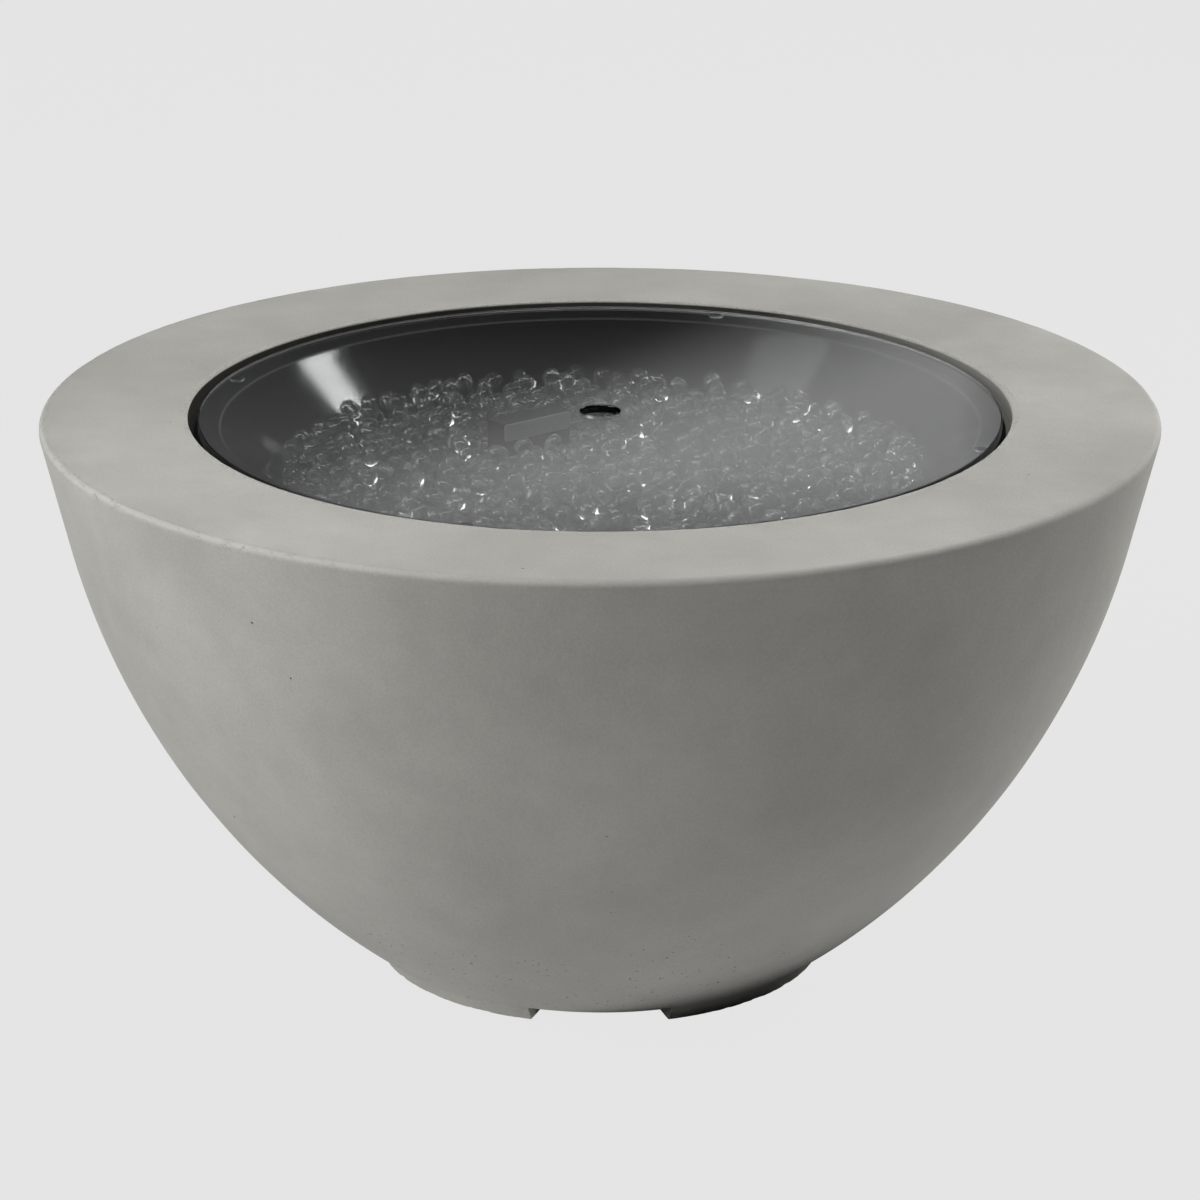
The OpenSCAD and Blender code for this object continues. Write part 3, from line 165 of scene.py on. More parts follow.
def linear(hex_colour):
    """Turn an sRGB hex value into a linear colour with full alpha."""
    digits = hex_colour.lstrip("#")
    channels = [int(digits[i:i + 2], 16) / 255 for i in (0, 2, 4)]
    return tuple(c / 12.92 if c <= 0.04045 else ((c + 0.055) / 1.055) ** 2.4 for c in channels) + (1.0,)


def add(tree, kind, inputs=None, out=0, **settings):
    """Add a node with its settings, set or link its inputs, and give back an output, or the node."""
    made = tree.nodes.new(kind)
    for name, value in settings.items():
        setattr(made, name, value)
    for key, value in (inputs or {}).items():
        if isinstance(value, bpy.types.NodeSocket):
            tree.links.new(value, made.inputs[key])
        else:
            made.inputs[key].default_value = value
    return made if out is None else made.outputs[out]


def new_material(name):
    """Start a material with an empty node tree, read in Object coordinates."""
    material = bpy.data.materials.new(name)
    material.use_nodes = True
    tree = material.node_tree
    tree.nodes.clear()
    return material, tree, add(tree, "ShaderNodeTexCoord", out="Object")


def close_material(tree, inputs, lamp_tint=None):
    """End a material with its shader; a lamp tint lets lamps shine through a clear piece."""
    shader = add(tree, "ShaderNodeBsdfPrincipled", inputs)
    if lamp_tint:
        clear = add(tree, "ShaderNodeBsdfTransparent", {0: lamp_tint})
        shadow = add(tree, "ShaderNodeLightPath", out="Is Shadow Ray")
        shader = add(tree, "ShaderNodeMixShader", {0: shadow, 1: shader, 2: clear})
    add(tree, "ShaderNodeOutputMaterial", {"Surface": shader}, None)


def pinholes(tree, place, cell, share, smallest, largest):
    """Round air holes in some of the cells of a real size: 0 outside a hole and 1 in its middle."""
    cells = add(tree, "ShaderNodeTexVoronoi", {"Vector": place, "Scale": 1 / cell, "Randomness": 1.0}, None)
    cells = cells.outputs
    chance = add(tree, "ShaderNodeSeparateColor", {0: cells["Color"]}, None).outputs
    radius = add(tree, RANGE, {0: chance[1], 3: smallest / cell, 4: largest / cell})
    far = add(tree, MATH, {0: cells["Distance"], 1: radius}, operation="DIVIDE")
    depth = add(tree, RANGE, {0: far, 1: 1.0, 2: 0.5})
    there = add(tree, MATH, {0: chance[0], 1: share}, operation="LESS_THAN")
    return add(tree, MATH, {0: depth, 1: there}, operation="MULTIPLY")


def axis_distance(tree, place):
    """A point's distance from the bowl's upright axis."""
    flat = add(tree, VECTOR, {0: place, 1: (1, 1, 0)}, operation="MULTIPLY")
    return add(tree, VECTOR, {0: flat}, "Value", operation="LENGTH")


def rim_wear_and_highlight(tree, place, section, across):
    """Where the rim's edge is paler, worn by rubbing and with painted highlight, where it is pitted, and the
    lip round the opening: 0 to 1 each.
    """
    inset = RIM_ROUND * (1 - math.sqrt(0.5))
    corner = (RIM_R - inset, RIM_Z - inset, 0)
    edge = add(tree, VECTOR, {0: section, 1: corner}, "Value", operation="DISTANCE")
    patch = add(tree, NOISE, {"Vector": place, "Scale": 1 / (9 * MM), "Detail": 5.0, "Roughness": 0.65})
    reach = add(tree, RANGE, {0: patch, 1: 0.3, 2: 0.7, 3: 1.4 * MM, 4: 4.2 * MM})
    share = add(tree, MATH, {0: edge, 1: reach}, operation="DIVIDE")
    wear_and_highlight = add(tree, RANGE, {0: share, 1: 0.3, 2: 1.0, 3: 0.55, 4: 0.0}, interpolation_type="SMOOTHSTEP")
    # The left is the most worn and has the most painted highlight
    side = add(tree, RANGE, {0: across, 1: -0.3, 2: 0.05, 3: 1.0, 4: 0.25})
    wear_and_highlight = add(tree, MATH, {0: wear_and_highlight, 1: side}, operation="MULTIPLY")
    pitted = add(tree, RANGE, {0: edge, 1: 2 * MM, 2: 6 * MM, 3: 1.0, 4: 0.0})
    bitten = add(tree, RANGE, {0: patch, 1: 0.46, 2: 0.6})
    pitted = add(tree, MATH, {0: pitted, 1: bitten}, operation="MULTIPLY")
    pitted = add(tree, MATH, {0: pitted, 1: side}, operation="MULTIPLY")
    brink = (OPENING_R + LIP_ROUND, RIM_Z, 0)
    lip = add(tree, VECTOR, {0: section, 1: brink}, "Value", operation="DISTANCE")
    lip = add(tree, RANGE, {0: lip, 1: 2 * MM, 2: 5 * MM, 3: 1.0, 4: 0.0}, interpolation_type="SMOOTHSTEP")
    return wear_and_highlight, pitted, lip


def shaded_seat(tree, across, radius, height):
    """Where painted shade blackens the seat below the lip, standing in for the shade in the gap round the
    glass, less so at the right.
    """
    shade_top = RIM_Z - LIP_ROUND
    seat = add(tree, RANGE, {0: height, 1: shade_top - 0.8 * MM, 2: shade_top, 3: 1.0, 4: 0.0})
    bare = add(tree, RANGE, {0: across, 1: 0.12, 2: 0.26, 3: 1.0, 4: 0.5})
    near = add(tree, MATH, {0: radius, 1: OPENING_R + 0.5 * MM}, operation="LESS_THAN")
    above = add(tree, MATH, {0: height, 1: RIM_UNDER_Z}, operation="GREATER_THAN")
    for part in (bare, near, above):
        seat = add(tree, MATH, {0: seat, 1: part}, operation="MULTIPLY")
    return seat


def air_holes(tree, place, height, wear_and_highlight):
    """Air holes: most low on the flank and along the rim's pale edge, a swarm above the foot, a few
    anywhere.
    """
    low = add(tree, RANGE, {0: height, 1: 20 * MM, 2: 150 * MM, 3: 1.0, 4: 0.12})
    drift = add(tree, NOISE, {"Vector": place, "Scale": 1 / (90 * MM)})
    drift = add(tree, RANGE, {0: drift, 1: 0.4, 2: 0.62})
    dense = add(tree, MATH, {0: low, 1: drift}, operation="MULTIPLY")
    far = add(tree, VECTOR, {0: place, 1: SWARM_AT}, "Value", operation="DISTANCE")
    swarm = add(tree, RANGE, {0: far, 1: 40 * MM, 2: 120 * MM, 3: 1.0, 4: 0.0})
    dense = add(tree, MATH, {0: dense, 1: swarm}, operation="MAXIMUM")
    dense = add(tree, MATH, {0: dense, 1: wear_and_highlight}, operation="MAXIMUM")
    dense = add(tree, RANGE, {0: dense, 1: 0.35, 2: 0.5})
    wide = pinholes(tree, place, 12 * MM, 0.6, 0.5 * MM, 1.1 * MM)
    fine = pinholes(tree, place, 4.5 * MM, 0.6, 0.35 * MM, 0.75 * MM)
    holes = add(tree, MATH, {0: wide, 1: fine}, operation="MAXIMUM")
    holes = add(tree, MATH, {0: holes, 1: dense}, operation="MULTIPLY")
    stray = pinholes(tree, place, 24 * MM, 0.4, 0.45 * MM, 1 * MM)
    return add(tree, MATH, {0: holes, 1: stray}, operation="MAXIMUM")


def cast_concrete(settings):
    """Concrete, cast in a smooth mould: cloudy grey with sand grain, air holes, a worn rim edge and lip made
    paler with painted highlight, and painted shade on the seat below the lip.
    """
    material, tree, place = new_material("cast_concrete")
    across, _, height = add(tree, "ShaderNodeSeparateXYZ", {0: place}, None).outputs
    radius = axis_distance(tree, place)
    section = add(tree, "ShaderNodeCombineXYZ", {0: radius, 1: height})
    # Clouds a hand wide, blotches a finger wide, and grains of sand, drawn coarse enough to show
    cloud = add(tree, NOISE, {"Vector": place, "Scale": 1 / (150 * MM), "Detail": 4.0})
    cloud = add(tree, RANGE, {0: cloud, 1: 0.35, 2: 0.65})
    blotch = add(tree, NOISE, {"Vector": place, "Scale": 1 / (26 * MM), "Detail": 6.0, "Roughness": 0.6})
    blotch = add(tree, RANGE, {0: blotch, 1: 0.32, 2: 0.68})
    sand = add(tree, NOISE, {"Vector": place, "Scale": 1 / (1.8 * MM), "Detail": 2.0, "Roughness": 0.7})
    colour = add(tree, MIX, {0: cloud, 6: settings.concrete_dark, 7: settings.concrete_light}, 2,
                 data_type="RGBA")
    shade = add(tree, RANGE, {0: blotch, 3: 0.96, 4: 1.04})
    fleck = add(tree, RANGE, {0: sand, 1: 0.3, 2: 0.7, 3: 0.94, 4: 1.06})
    tone = add(tree, MATH, {0: shade, 1: fleck}, operation="MULTIPLY")
    # The rim's flat top is a little lighter in colour
    top = add(tree, RANGE, {0: height, 1: RIM_Z - RIM_ROUND, 2: RIM_Z - 0.5 * MM, 3: 1.0, 4: 1.07})
    tone = add(tree, MATH, {0: tone, 1: top}, operation="MULTIPLY")
    colour = add(tree, "ShaderNodeHueSaturation", {"Color": colour, "Value": tone})
    # The rim's edge and the lip are paler, partly from wear by rubbing and partly as painted highlight, and
    # the crumbs of the pitted edge and the lip are darker
    wear_and_highlight, pitted, lip = rim_wear_and_highlight(tree, place, section, across)
    pale = add(tree, MATH, {0: lip, 1: 0.4}, operation="MULTIPLY")
    pale = add(tree, MATH, {0: pale, 1: wear_and_highlight}, operation="MAXIMUM")
    colour = add(tree, MIX, {0: pale, 6: colour, 7: settings.concrete_worn_and_lit}, 2, data_type="RGBA")
    crumb = add(tree, NOISE, {"Vector": place, "Scale": 1 / (1.2 * MM), "Detail": 3.0, "Roughness": 0.7})
    crumb = add(tree, RANGE, {0: crumb, 1: 0.53, 2: 0.63})
    worn = add(tree, MATH, {0: pitted, 1: lip}, operation="MAXIMUM")
    speckle = add(tree, MATH, {0: worn, 1: crumb}, operation="MULTIPLY")
    crumb_darkening = add(tree, MATH, {0: speckle, 1: 0.55}, operation="MULTIPLY")
    colour = add(tree, MIX, {0: crumb_darkening, 6: colour, 7: linear("#6d6b68")}, 2, data_type="RGBA")
    # Painted shade: the seat below the lip is darkened to a near black
    seat = shaded_seat(tree, across, radius, height)
    colour = add(tree, MIX, {0: seat, 6: colour, 7: linear("#24221f")}, 2, data_type="RGBA")
    holes = air_holes(tree, place, height, wear_and_highlight)
    shadow = add(tree, MATH, {0: holes, 1: 0.6}, operation="MULTIPLY")
    colour = add(tree, MIX, {0: shadow, 6: colour, 7: linear("#4b4a47")}, 2, data_type="RGBA")
    normal = add(tree, BUMP, {"Height": sand, "Distance": 0.1 * MM})
    normal = add(tree, BUMP, {"Height": blotch, "Distance": 0.2 * MM, "Normal": normal})
    normal = add(tree, BUMP, {"Height": speckle, "Distance": 0.25 * MM, "Normal": normal}, invert=True)
    normal = add(tree, BUMP, {"Height": holes, "Distance": 1.2 * MM, "Normal": normal}, invert=True)
    rough = add(tree, RANGE, {0: blotch, 3: 0.72, 4: 0.88})
    close_material(tree, {"Base Color": colour, "Roughness": rough, "Normal": normal,
                          "Specular IOR Level": 0.3})
    return material


def rolled_stainless(name, colour, roughness, line=0.8 * MM, stretch=(1, 1, 1)):
    """Stainless steel, rolled or brushed: grey metal with fine lines along the rolling and faint smears."""
    material, tree, place = new_material(name)
    smear = add(tree, NOISE, {"Vector": place, "Scale": 1 / (45 * MM), "Detail": 4.0})
    smear = add(tree, RANGE, {0: smear, 1: 0.3, 2: 0.7})
    drawn = add(tree, "ShaderNodeMapping", {"Vector": place, "Scale": [1 / (line * s) for s in stretch]})
    lines = add(tree, NOISE, {"Vector": drawn, "Scale": 1.0, "Detail": 3.0, "Roughness": 0.6})
    tone = add(tree, RANGE, {0: lines, 1: 0.3, 2: 0.7, 3: 0.9, 4: 1.1})
    dulled = [c * 0.9 for c in colour[:3]] + [1]
    shaded = add(tree, MIX, {0: smear, 6: colour, 7: dulled}, 2, data_type="RGBA")
    shaded = add(tree, "ShaderNodeHueSaturation", {"Color": shaded, "Value": tone})
    rough = add(tree, RANGE, {0: smear, 3: roughness * 0.85, 4: roughness * 1.2})
    normal = add(tree, BUMP, {"Height": lines, "Distance": 0.012 * MM})
    close_material(tree, {"Base Color": shaded, "Metallic": 1.0, "Roughness": rough, "Normal": normal})
    return material


def spun_stainless(colour):
    """Stainless sheet, spun to a cone: dark and mirror-like, with fine grain, and its top bend and brim
    painted a dull black as shade.
    """
    material, tree, place = new_material("stainless_pan")
    radius = axis_distance(tree, place)
    smear = add(tree, NOISE, {"Vector": place, "Scale": 1 / (45 * MM), "Detail": 4.0})
    smear = add(tree, RANGE, {0: smear, 1: 0.3, 2: 0.7})
    grain = add(tree, NOISE, {"Vector": place, "Scale": 1 / (1 * MM), "Detail": 3.0, "Roughness": 0.6})
    tone = add(tree, RANGE, {0: grain, 1: 0.3, 2: 0.7, 3: 0.88, 4: 1.12})
    dulled = [c * 0.88 for c in colour[:3]] + [1]
    shaded = add(tree, MIX, {0: smear, 6: colour, 7: dulled}, 2, data_type="RGBA")
    shaded = add(tree, "ShaderNodeHueSaturation", {"Color": shaded, "Value": tone})
    # Painted shade: the top bend and the flange are painted a dull black
    flange = add(tree, RANGE, {0: radius, 1: PAN_R - 3 * MM, 2: PAN_R - 1 * MM})
    shaded = add(tree, MIX, {0: flange, 6: shaded, 7: linear("#141414")}, 2, data_type="RGBA")
    rough = add(tree, RANGE, {0: smear, 3: 0.07, 4: 0.11})
    bare = add(tree, MATH, {0: 1.0, 1: flange}, operation="SUBTRACT")
    normal = add(tree, BUMP, {"Height": grain, "Distance": 0.012 * MM})
    close_material(tree, {"Base Color": shaded, "Metallic": bare, "Roughness": rough, "Normal": normal,
                          "Specular IOR Level": 0.0})
    return material


def soot_and_shade_steel():
    """Stainless sheet, folded and used over a flame: nearly black, partly from soot and partly as painted
    shade of its dark top and end, greyer towards its foot.
    """
    material, tree, place = new_material("soot_and_shade_steel")
    height = add(tree, "ShaderNodeSeparateXYZ", {0: place}, 2)
    cloud = add(tree, NOISE, {"Vector": place, "Scale": 1 / (6 * MM), "Detail": 5.0, "Roughness": 0.6})
    reach = add(tree, RANGE, {0: cloud, 1: 0.3, 2: 0.7, 3: PAN_FLOOR_Z, 4: PAN_FLOOR_Z + 25 * MM})
    bare = add(tree, MATH, {0: height, 1: reach}, operation="LESS_THAN")
    # Painted shade: the near black stands in for the shade on the hood's top and end as well as for soot
    colour = add(tree, MIX, {0: cloud, 6: linear("#1a1a19"), 7: linear("#2b2a29")}, 2, data_type="RGBA")
    colour = add(tree, MIX, {0: bare, 6: colour, 7: linear("#5a5a5a")}, 2, data_type="RGBA")
    normal = add(tree, BUMP, {"Height": cloud, "Distance": 0.05 * MM})
    close_material(tree, {"Base Color": colour, "Metallic": 0.1, "Roughness": 0.8, "Normal": normal,
                          "Specular IOR Level": 0.15})
    return material


def turned_metal(name, colour, roughness):
    """Brass, copper or zinc plate, turned or drawn: bright metal with duller patches and fine tool marks."""
    material, tree, place = new_material(name)
    dull = add(tree, NOISE, {"Vector": place, "Scale": 1 / (7 * MM), "Detail": 5.0, "Roughness": 0.6})
    dull = add(tree, RANGE, {0: dull, 1: 0.35, 2: 0.7})
    marks = add(tree, NOISE, {"Vector": place, "Scale": 1 / (0.5 * MM)})
    tarnished = [c * 0.62 for c in colour[:3]] + [1]
    shaded = add(tree, MIX, {0: dull, 6: colour, 7: tarnished}, 2, data_type="RGBA")
    rough = add(tree, RANGE, {0: dull, 3: roughness, 4: roughness + 0.2})
    normal = add(tree, BUMP, {"Height": marks, "Distance": 0.02 * MM})
    close_material(tree, {"Base Color": shaded, "Metallic": 1.0, "Roughness": rough, "Normal": normal})
    return material


def moulded_plastic(name, colour, roughness=0.45, texture=0.6 * MM):
    """Moulded plastic, rubber or fired ceramic: one colour with a fine texture and handling marks."""
    material, tree, place = new_material(name)
    spark = add(tree, NOISE, {"Vector": place, "Scale": 1 / texture})
    handled = add(tree, NOISE, {"Vector": place, "Scale": 1 / (14 * MM), "Detail": 4.0})
    handled = add(tree, RANGE, {0: handled, 1: 0.35, 2: 0.7})
    lighter = [min(1.0, c * 1.25 + 0.004) for c in colour[:3]] + [1]
    shaded = add(tree, MIX, {0: handled, 6: colour, 7: lighter}, 2, data_type="RGBA")
    rough = add(tree, RANGE, {0: handled, 3: roughness, 4: roughness + 0.12})
    normal = add(tree, BUMP, {"Height": spark, "Distance": 0.03 * MM})
    close_material(tree, {"Base Color": shaded, "Roughness": rough, "Normal": normal})
    return material


def tempered_glass():
    """Soda-lime float glass, tempered: clear and flat, with a faint film of dust and a dull edge, rough from
    grinding and painted dark as shade.
    """
    material, tree, place = new_material("tempered_glass")
    dust = add(tree, NOISE, {"Vector": place, "Scale": 1 / (60 * MM), "Detail": 4.0})
    dust = add(tree, RANGE, {0: dust, 1: 0.35, 2: 0.7})
    tint = add(tree, MIX, {0: dust, 6: linear("#f6f8f7"), 7: linear("#f0f2f1")}, 2, data_type="RGBA")
    rough = add(tree, RANGE, {0: dust, 3: 0.0, 4: 0.015})
    # The outer edge is rough from grinding, so it scatters light, and its dark tint is painted shade
    radius = axis_distance(tree, place)
    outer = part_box("glass_cover")[1].x
    ground_edge_shade = add(tree, RANGE, {0: radius, 1: outer - 1.1 * MM, 2: outer - 0.8 * MM})
    tint = add(tree, MIX, {0: ground_edge_shade, 6: tint, 7: linear("#2e3230")}, 2, data_type="RGBA")
    rough = add(tree, MATH, {0: ground_edge_shade, 1: 0.4, 2: rough}, operation="MULTIPLY_ADD")
    close_material(tree, {"Base Color": tint, "Roughness": rough, "Transmission Weight": 1.0, "IOR": 1.5},
                   linear("#eef1f0"))
    return material


def fire_glass():
    """Soda-lime glass gems, tumbled and fire-polished: clear, with tiny seeds and a faint grey cast."""
    material, tree, place = new_material("fire_glass")
    seeds = pinholes(tree, place, 4 * MM, 0.15, 0.2 * MM, 0.5 * MM)
    core = add(tree, NOISE, {"Vector": place, "Scale": 1 / (16 * MM), "Detail": 1.0})
    core = add(tree, RANGE, {0: core, 1: 0.35, 2: 0.7})
    tint = add(tree, MIX, {0: core, 6: linear("#a9aaaa"), 7: linear("#ececec")}, 2, data_type="RGBA")
    tint = add(tree, MIX, {0: seeds, 6: tint, 7: linear("#ffffff")}, 2, data_type="RGBA")
    rough = add(tree, RANGE, {0: seeds, 3: 0.02, 4: 0.3})
    close_material(tree, {"Base Color": tint, "Roughness": rough, "Transmission Weight": 0.978, "IOR": 1.5},
                   linear("#cbcbcb"))
    return material


def settled_glass():
    """Fire glass in depth, below the top gems: grey, broken up into a cobble of gems with painted shade in
    the gaps.
    """
    material, tree, place = new_material("settled_fire_glass")
    cobble = add(tree, "ShaderNodeTexVoronoi", {"Vector": place, "Scale": 1 / (11 * MM), "Smoothness": 0.4},
                 None, feature="SMOOTH_F1").outputs
    chance = add(tree, "ShaderNodeSeparateColor", {0: cobble["Color"]})
    gap = add(tree, RANGE, {0: cobble["Distance"], 1: 0.25, 2: 0.7})
    colour = add(tree, MIX, {0: chance, 6: linear("#565656"), 7: linear("#8e8e8e")}, 2, data_type="RGBA")
    # Painted shade darkens the gaps between the gems
    colour = add(tree, MIX, {0: gap, 6: colour, 7: linear("#1c1d1d")}, 2, data_type="RGBA")
    rough = add(tree, RANGE, {0: chance, 3: 0.12, 4: 0.35})
    normal = add(tree, BUMP, {"Height": gap, "Distance": 4 * MM}, invert=True)
    close_material(tree, {"Base Color": colour, "Roughness": rough, "Normal": normal,
                          "Specular IOR Level": 0.6})
    return material


def clear_bumper():
    """Polyurethane, cast in clear soft domes: nearly clear and a little milky."""
    material, tree, place = new_material("clear_bumper")
    milk = add(tree, NOISE, {"Vector": place, "Scale": 1 / (3 * MM)})
    tint = add(tree, MIX, {0: milk, 6: linear("#9fa4a3"), 7: linear("#c6cac9")}, 2, data_type="RGBA")
    rough = add(tree, RANGE, {0: milk, 1: 0.3, 2: 0.7, 3: 0.08, 4: 0.2})
    close_material(tree, {"Base Color": tint, "Roughness": rough, "Transmission Weight": 1.0, "IOR": 1.47},
                   linear("#d5d8d7"))
    return material


def piece_from_bmesh(name, bm, material, angle=40):
    """Turn a bmesh into a finished object with outward faces, smooth up to an angle."""
    bmesh.ops.remove_doubles(bm, verts=bm.verts, dist=1e-6)
    bmesh.ops.recalc_face_normals(bm, faces=bm.faces)
    mesh = bpy.data.meshes.new(name)
    bm.to_mesh(mesh)
    bm.free()
    return piece_from_mesh(name, mesh, material, angle)


def piece_from_mesh(name, mesh, material, angle=40):
    """Link a mesh as an object at the origin, smooth up to an angle."""
    mesh.materials.clear()
    mesh.materials.append(material)
    mesh.polygons.foreach_set("use_smooth", [True] * len(mesh.polygons))
    mesh.set_sharp_from_angle(angle=math.radians(angle))
    made = bpy.data.objects.new(name, mesh)
    bpy.context.scene.collection.objects.link(made)
    return made


def baked(source, name, material, angle=40):
    """The evaluated object as a plain mesh piece; the source object and its modifiers are removed."""
    depsgraph = bpy.context.evaluated_depsgraph_get()
    mesh = bpy.data.meshes.new_from_object(source.evaluated_get(depsgraph))
    bpy.data.objects.remove(source)
    return piece_from_mesh(name, mesh, material, angle)


def revolve(bm, outline, segments):
    """Turn a closed outline of (radius, height) points round the Z axis."""
    rings = []
    for i in range(segments):
        turn = 2 * math.pi * i / segments
        rings.append([bm.verts.new((r * math.cos(turn), r * math.sin(turn), z)) for r, z in outline])
    count = len(outline)
    for i, ring in enumerate(rings):
        after = rings[(i + 1) % segments]
        for k in range(count):
            n = (k + 1) % count
            bm.faces.new((ring[k], after[k], after[n], ring[n]))
    return bm


def arc(centre, radius, start, end, steps):
    """Points on an arc, angles in degrees from the outward direction, both ends included."""
    turns = [math.radians(start + (end - start) * i / steps) for i in range(steps + 1)]
    return [(centre[0] + radius * math.cos(t), centre[1] + radius * math.sin(t)) for t in turns]


def line(a, b, steps):
    """Points from a towards b, without b."""
    return [(a[0] + (b[0] - a[0]) * i / steps, a[1] + (b[1] - a[1]) * i / steps) for i in range(steps)]


def cut(target, cutter):
    """Subtract one object from another and remove the cutter."""
    modifier = target.modifiers.new("cut", "BOOLEAN")
    modifier.operation = "DIFFERENCE"
    modifier.solver = "EXACT"
    modifier.object = cutter
    depsgraph = bpy.context.evaluated_depsgraph_get()
    mesh = bpy.data.meshes.new_from_object(target.evaluated_get(depsgraph))
    target.modifiers.clear()
    target.data = mesh
    bpy.data.objects.remove(cutter)


def prism(corners, low, high, transform=Matrix.Identity(4)):
    """A cutter: a flat shape drawn out from one height to another."""
    bm = bmesh.new()
    bottom = [bm.verts.new(transform @ Vector((x, y, low))) for x, y in corners]
    top = [bm.verts.new(transform @ Vector((x, y, high))) for x, y in corners]
    bm.faces.new(bottom)
    bm.faces.new(top)
    for i in range(len(corners)):
        n = (i + 1) % len(corners)
        bm.faces.new((bottom[i], bottom[n], top[n], top[i]))
    bmesh.ops.recalc_face_normals(bm, faces=bm.faces)
    mesh = bpy.data.meshes.new("cutter")
    bm.to_mesh(mesh)
    bm.free()
    made = bpy.data.objects.new("cutter", mesh)
    bpy.context.scene.collection.objects.link(made)
    return made


def circle(radius, sides, centre=(0, 0)):
    """Corners of a circle."""
    turns = [2 * math.pi * i / sides for i in range(sides)]
    return [(centre[0] + radius * math.cos(t), centre[1] + radius * math.sin(t)) for t in turns]


def rounded_rectangle(width, height, radius, steps=8):
    """Corners of a rectangle with round corners."""
    points = []
    for turn, sx, sy in ((0, 1, 1), (90, -1, 1), (180, -1, -1), (270, 1, -1)):
        corner = (sx * (width / 2 - radius), sy * (height / 2 - radius))
        points += arc(corner, radius, turn, turn + 90, steps)
    return points


def softened(node, name, material, edge):
    """A copy of a CAD node with its corners merged, its flats joined up and its sharp edges rounded."""
    bm = bmesh.new()
    bm.from_mesh(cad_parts[node].data)
    bmesh.ops.remove_doubles(bm, verts=bm.verts, dist=2e-6)
    bmesh.ops.dissolve_limit(bm, angle_limit=math.radians(0.4), verts=bm.verts, edges=bm.edges)
    mesh = bpy.data.meshes.new(name)
    bm.to_mesh(mesh)
    bm.free()
    source = bpy.data.objects.new(name + "_source", mesh)
    bpy.context.scene.collection.objects.link(source)
    mesh.polygons.foreach_set("use_smooth", [True] * len(mesh.polygons))
    modifier = source.modifiers.new("edges", "BEVEL")
    modifier.width = edge
    modifier.segments = 2
    modifier.limit_method = "ANGLE"
    modifier.angle_limit = math.radians(40)
    source.modifiers.new("flats", "WEIGHTED_NORMAL")
    return baked(source, name, material, 70)


def finish_piece(piece, body, slot, *nodes):
    """Hang a piece on its body and hide the CAD nodes that it stands for; the slot is not used."""
    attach(piece, body)
    if nodes:
        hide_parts(*nodes)


def paint_node(node, material):
    """Give a CAD node a finish."""
    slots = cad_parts[node].data.materials
    slots.clear()
    slots.append(material)


def new_tree(name, sizes):
    """Start a geometry node tree with named number inputs and a material input."""
    tree = bpy.data.node_groups.new(name, "GeometryNodeTree")
    tree.interface.new_socket("Geometry", in_out="INPUT", socket_type="NodeSocketGeometry")
    for label, (kind, value) in sizes.items():
        socket = tree.interface.new_socket(label, in_out="INPUT", socket_type=kind)
        socket.default_value = value
    tree.interface.new_socket("Material", in_out="INPUT", socket_type="NodeSocketMaterial")
    tree.interface.new_socket("Geometry", in_out="OUTPUT", socket_type="NodeSocketGeometry")
    given = add(tree, "NodeGroupInput", out=None).outputs
    return tree, given


def close_tree(tree, given, geometry):
    """End a tree: realize what was placed and set its material."""
    real = add(tree, "GeometryNodeRealizeInstances", {0: geometry})
    painted = add(tree, "GeometryNodeSetMaterial", {"Geometry": real, "Material": given["Material"]})
    add(tree, "NodeGroupOutput", {0: painted}, None)


def run_tree(source, tree, values, material):
    """Put a tree on an object with its inputs set by identifier."""
    modifier = source.modifiers.new(tree.name, "NODES")
    modifier.node_group = tree
    for item in tree.interface.items_tree:
        if item.in_out == "INPUT" and item.name in values:
            modifier[item.identifier] = values[item.name]
        if item.in_out == "INPUT" and item.name == "Material":
            modifier[item.identifier] = material


class FirePitSettings(bpy.types.PropertyGroup):
    """Sizes and colours of the dressed fire pit."""

    concrete_dark: FloatVectorProperty(
        name="Concrete, dark", description="Darker clouds of the concrete", subtype="COLOR", size=4,
        min=0, max=1, default=linear("#8d8c87"))
    concrete_light: FloatVectorProperty(
        name="Concrete, light", description="Lighter clouds of the concrete", subtype="COLOR", size=4,
        min=0, max=1, default=linear("#989792"))
    # Paler concrete of the rim's edge and the lip: worn by rubbing, with painted highlight
    concrete_worn_and_lit: FloatVectorProperty(
        name="Concrete, worn", description="Rubbed concrete along the rim's edge", subtype="COLOR", size=4,
        min=0, max=1, default=linear("#aaa9a4"))
    unevenness: FloatProperty(
        name="Unevenness", description="How far the cast face wanders from its true shape",
        subtype="DISTANCE", unit="LENGTH", min=0, default=0.25 * MM)
    chip_depth: FloatProperty(
        name="Chip depth", description="Depth of the chips along the concrete's edges", subtype="DISTANCE",
        unit="LENGTH", min=0, default=2.2 * MM)
    gem_size: FloatProperty(
        name="Gem size", description="Middle size of a fire glass gem", subtype="DISTANCE", unit="LENGTH",
        min=4 * MM, default=13 * MM)
    gem_spacing: FloatProperty(
        name="Gem spacing", description="Least distance between two gems of one layer", subtype="DISTANCE",
        unit="LENGTH", min=4 * MM, default=14 * MM)
    gem_seed: IntProperty(
        name="Gem seed", description="Start of the gems' random places and shapes", min=0, default=7)
    steel: FloatVectorProperty(
        name="Steel", description="Stainless steel of the pan and the burner", subtype="COLOR", size=4,
        min=0, max=1, default=linear("#727272"))


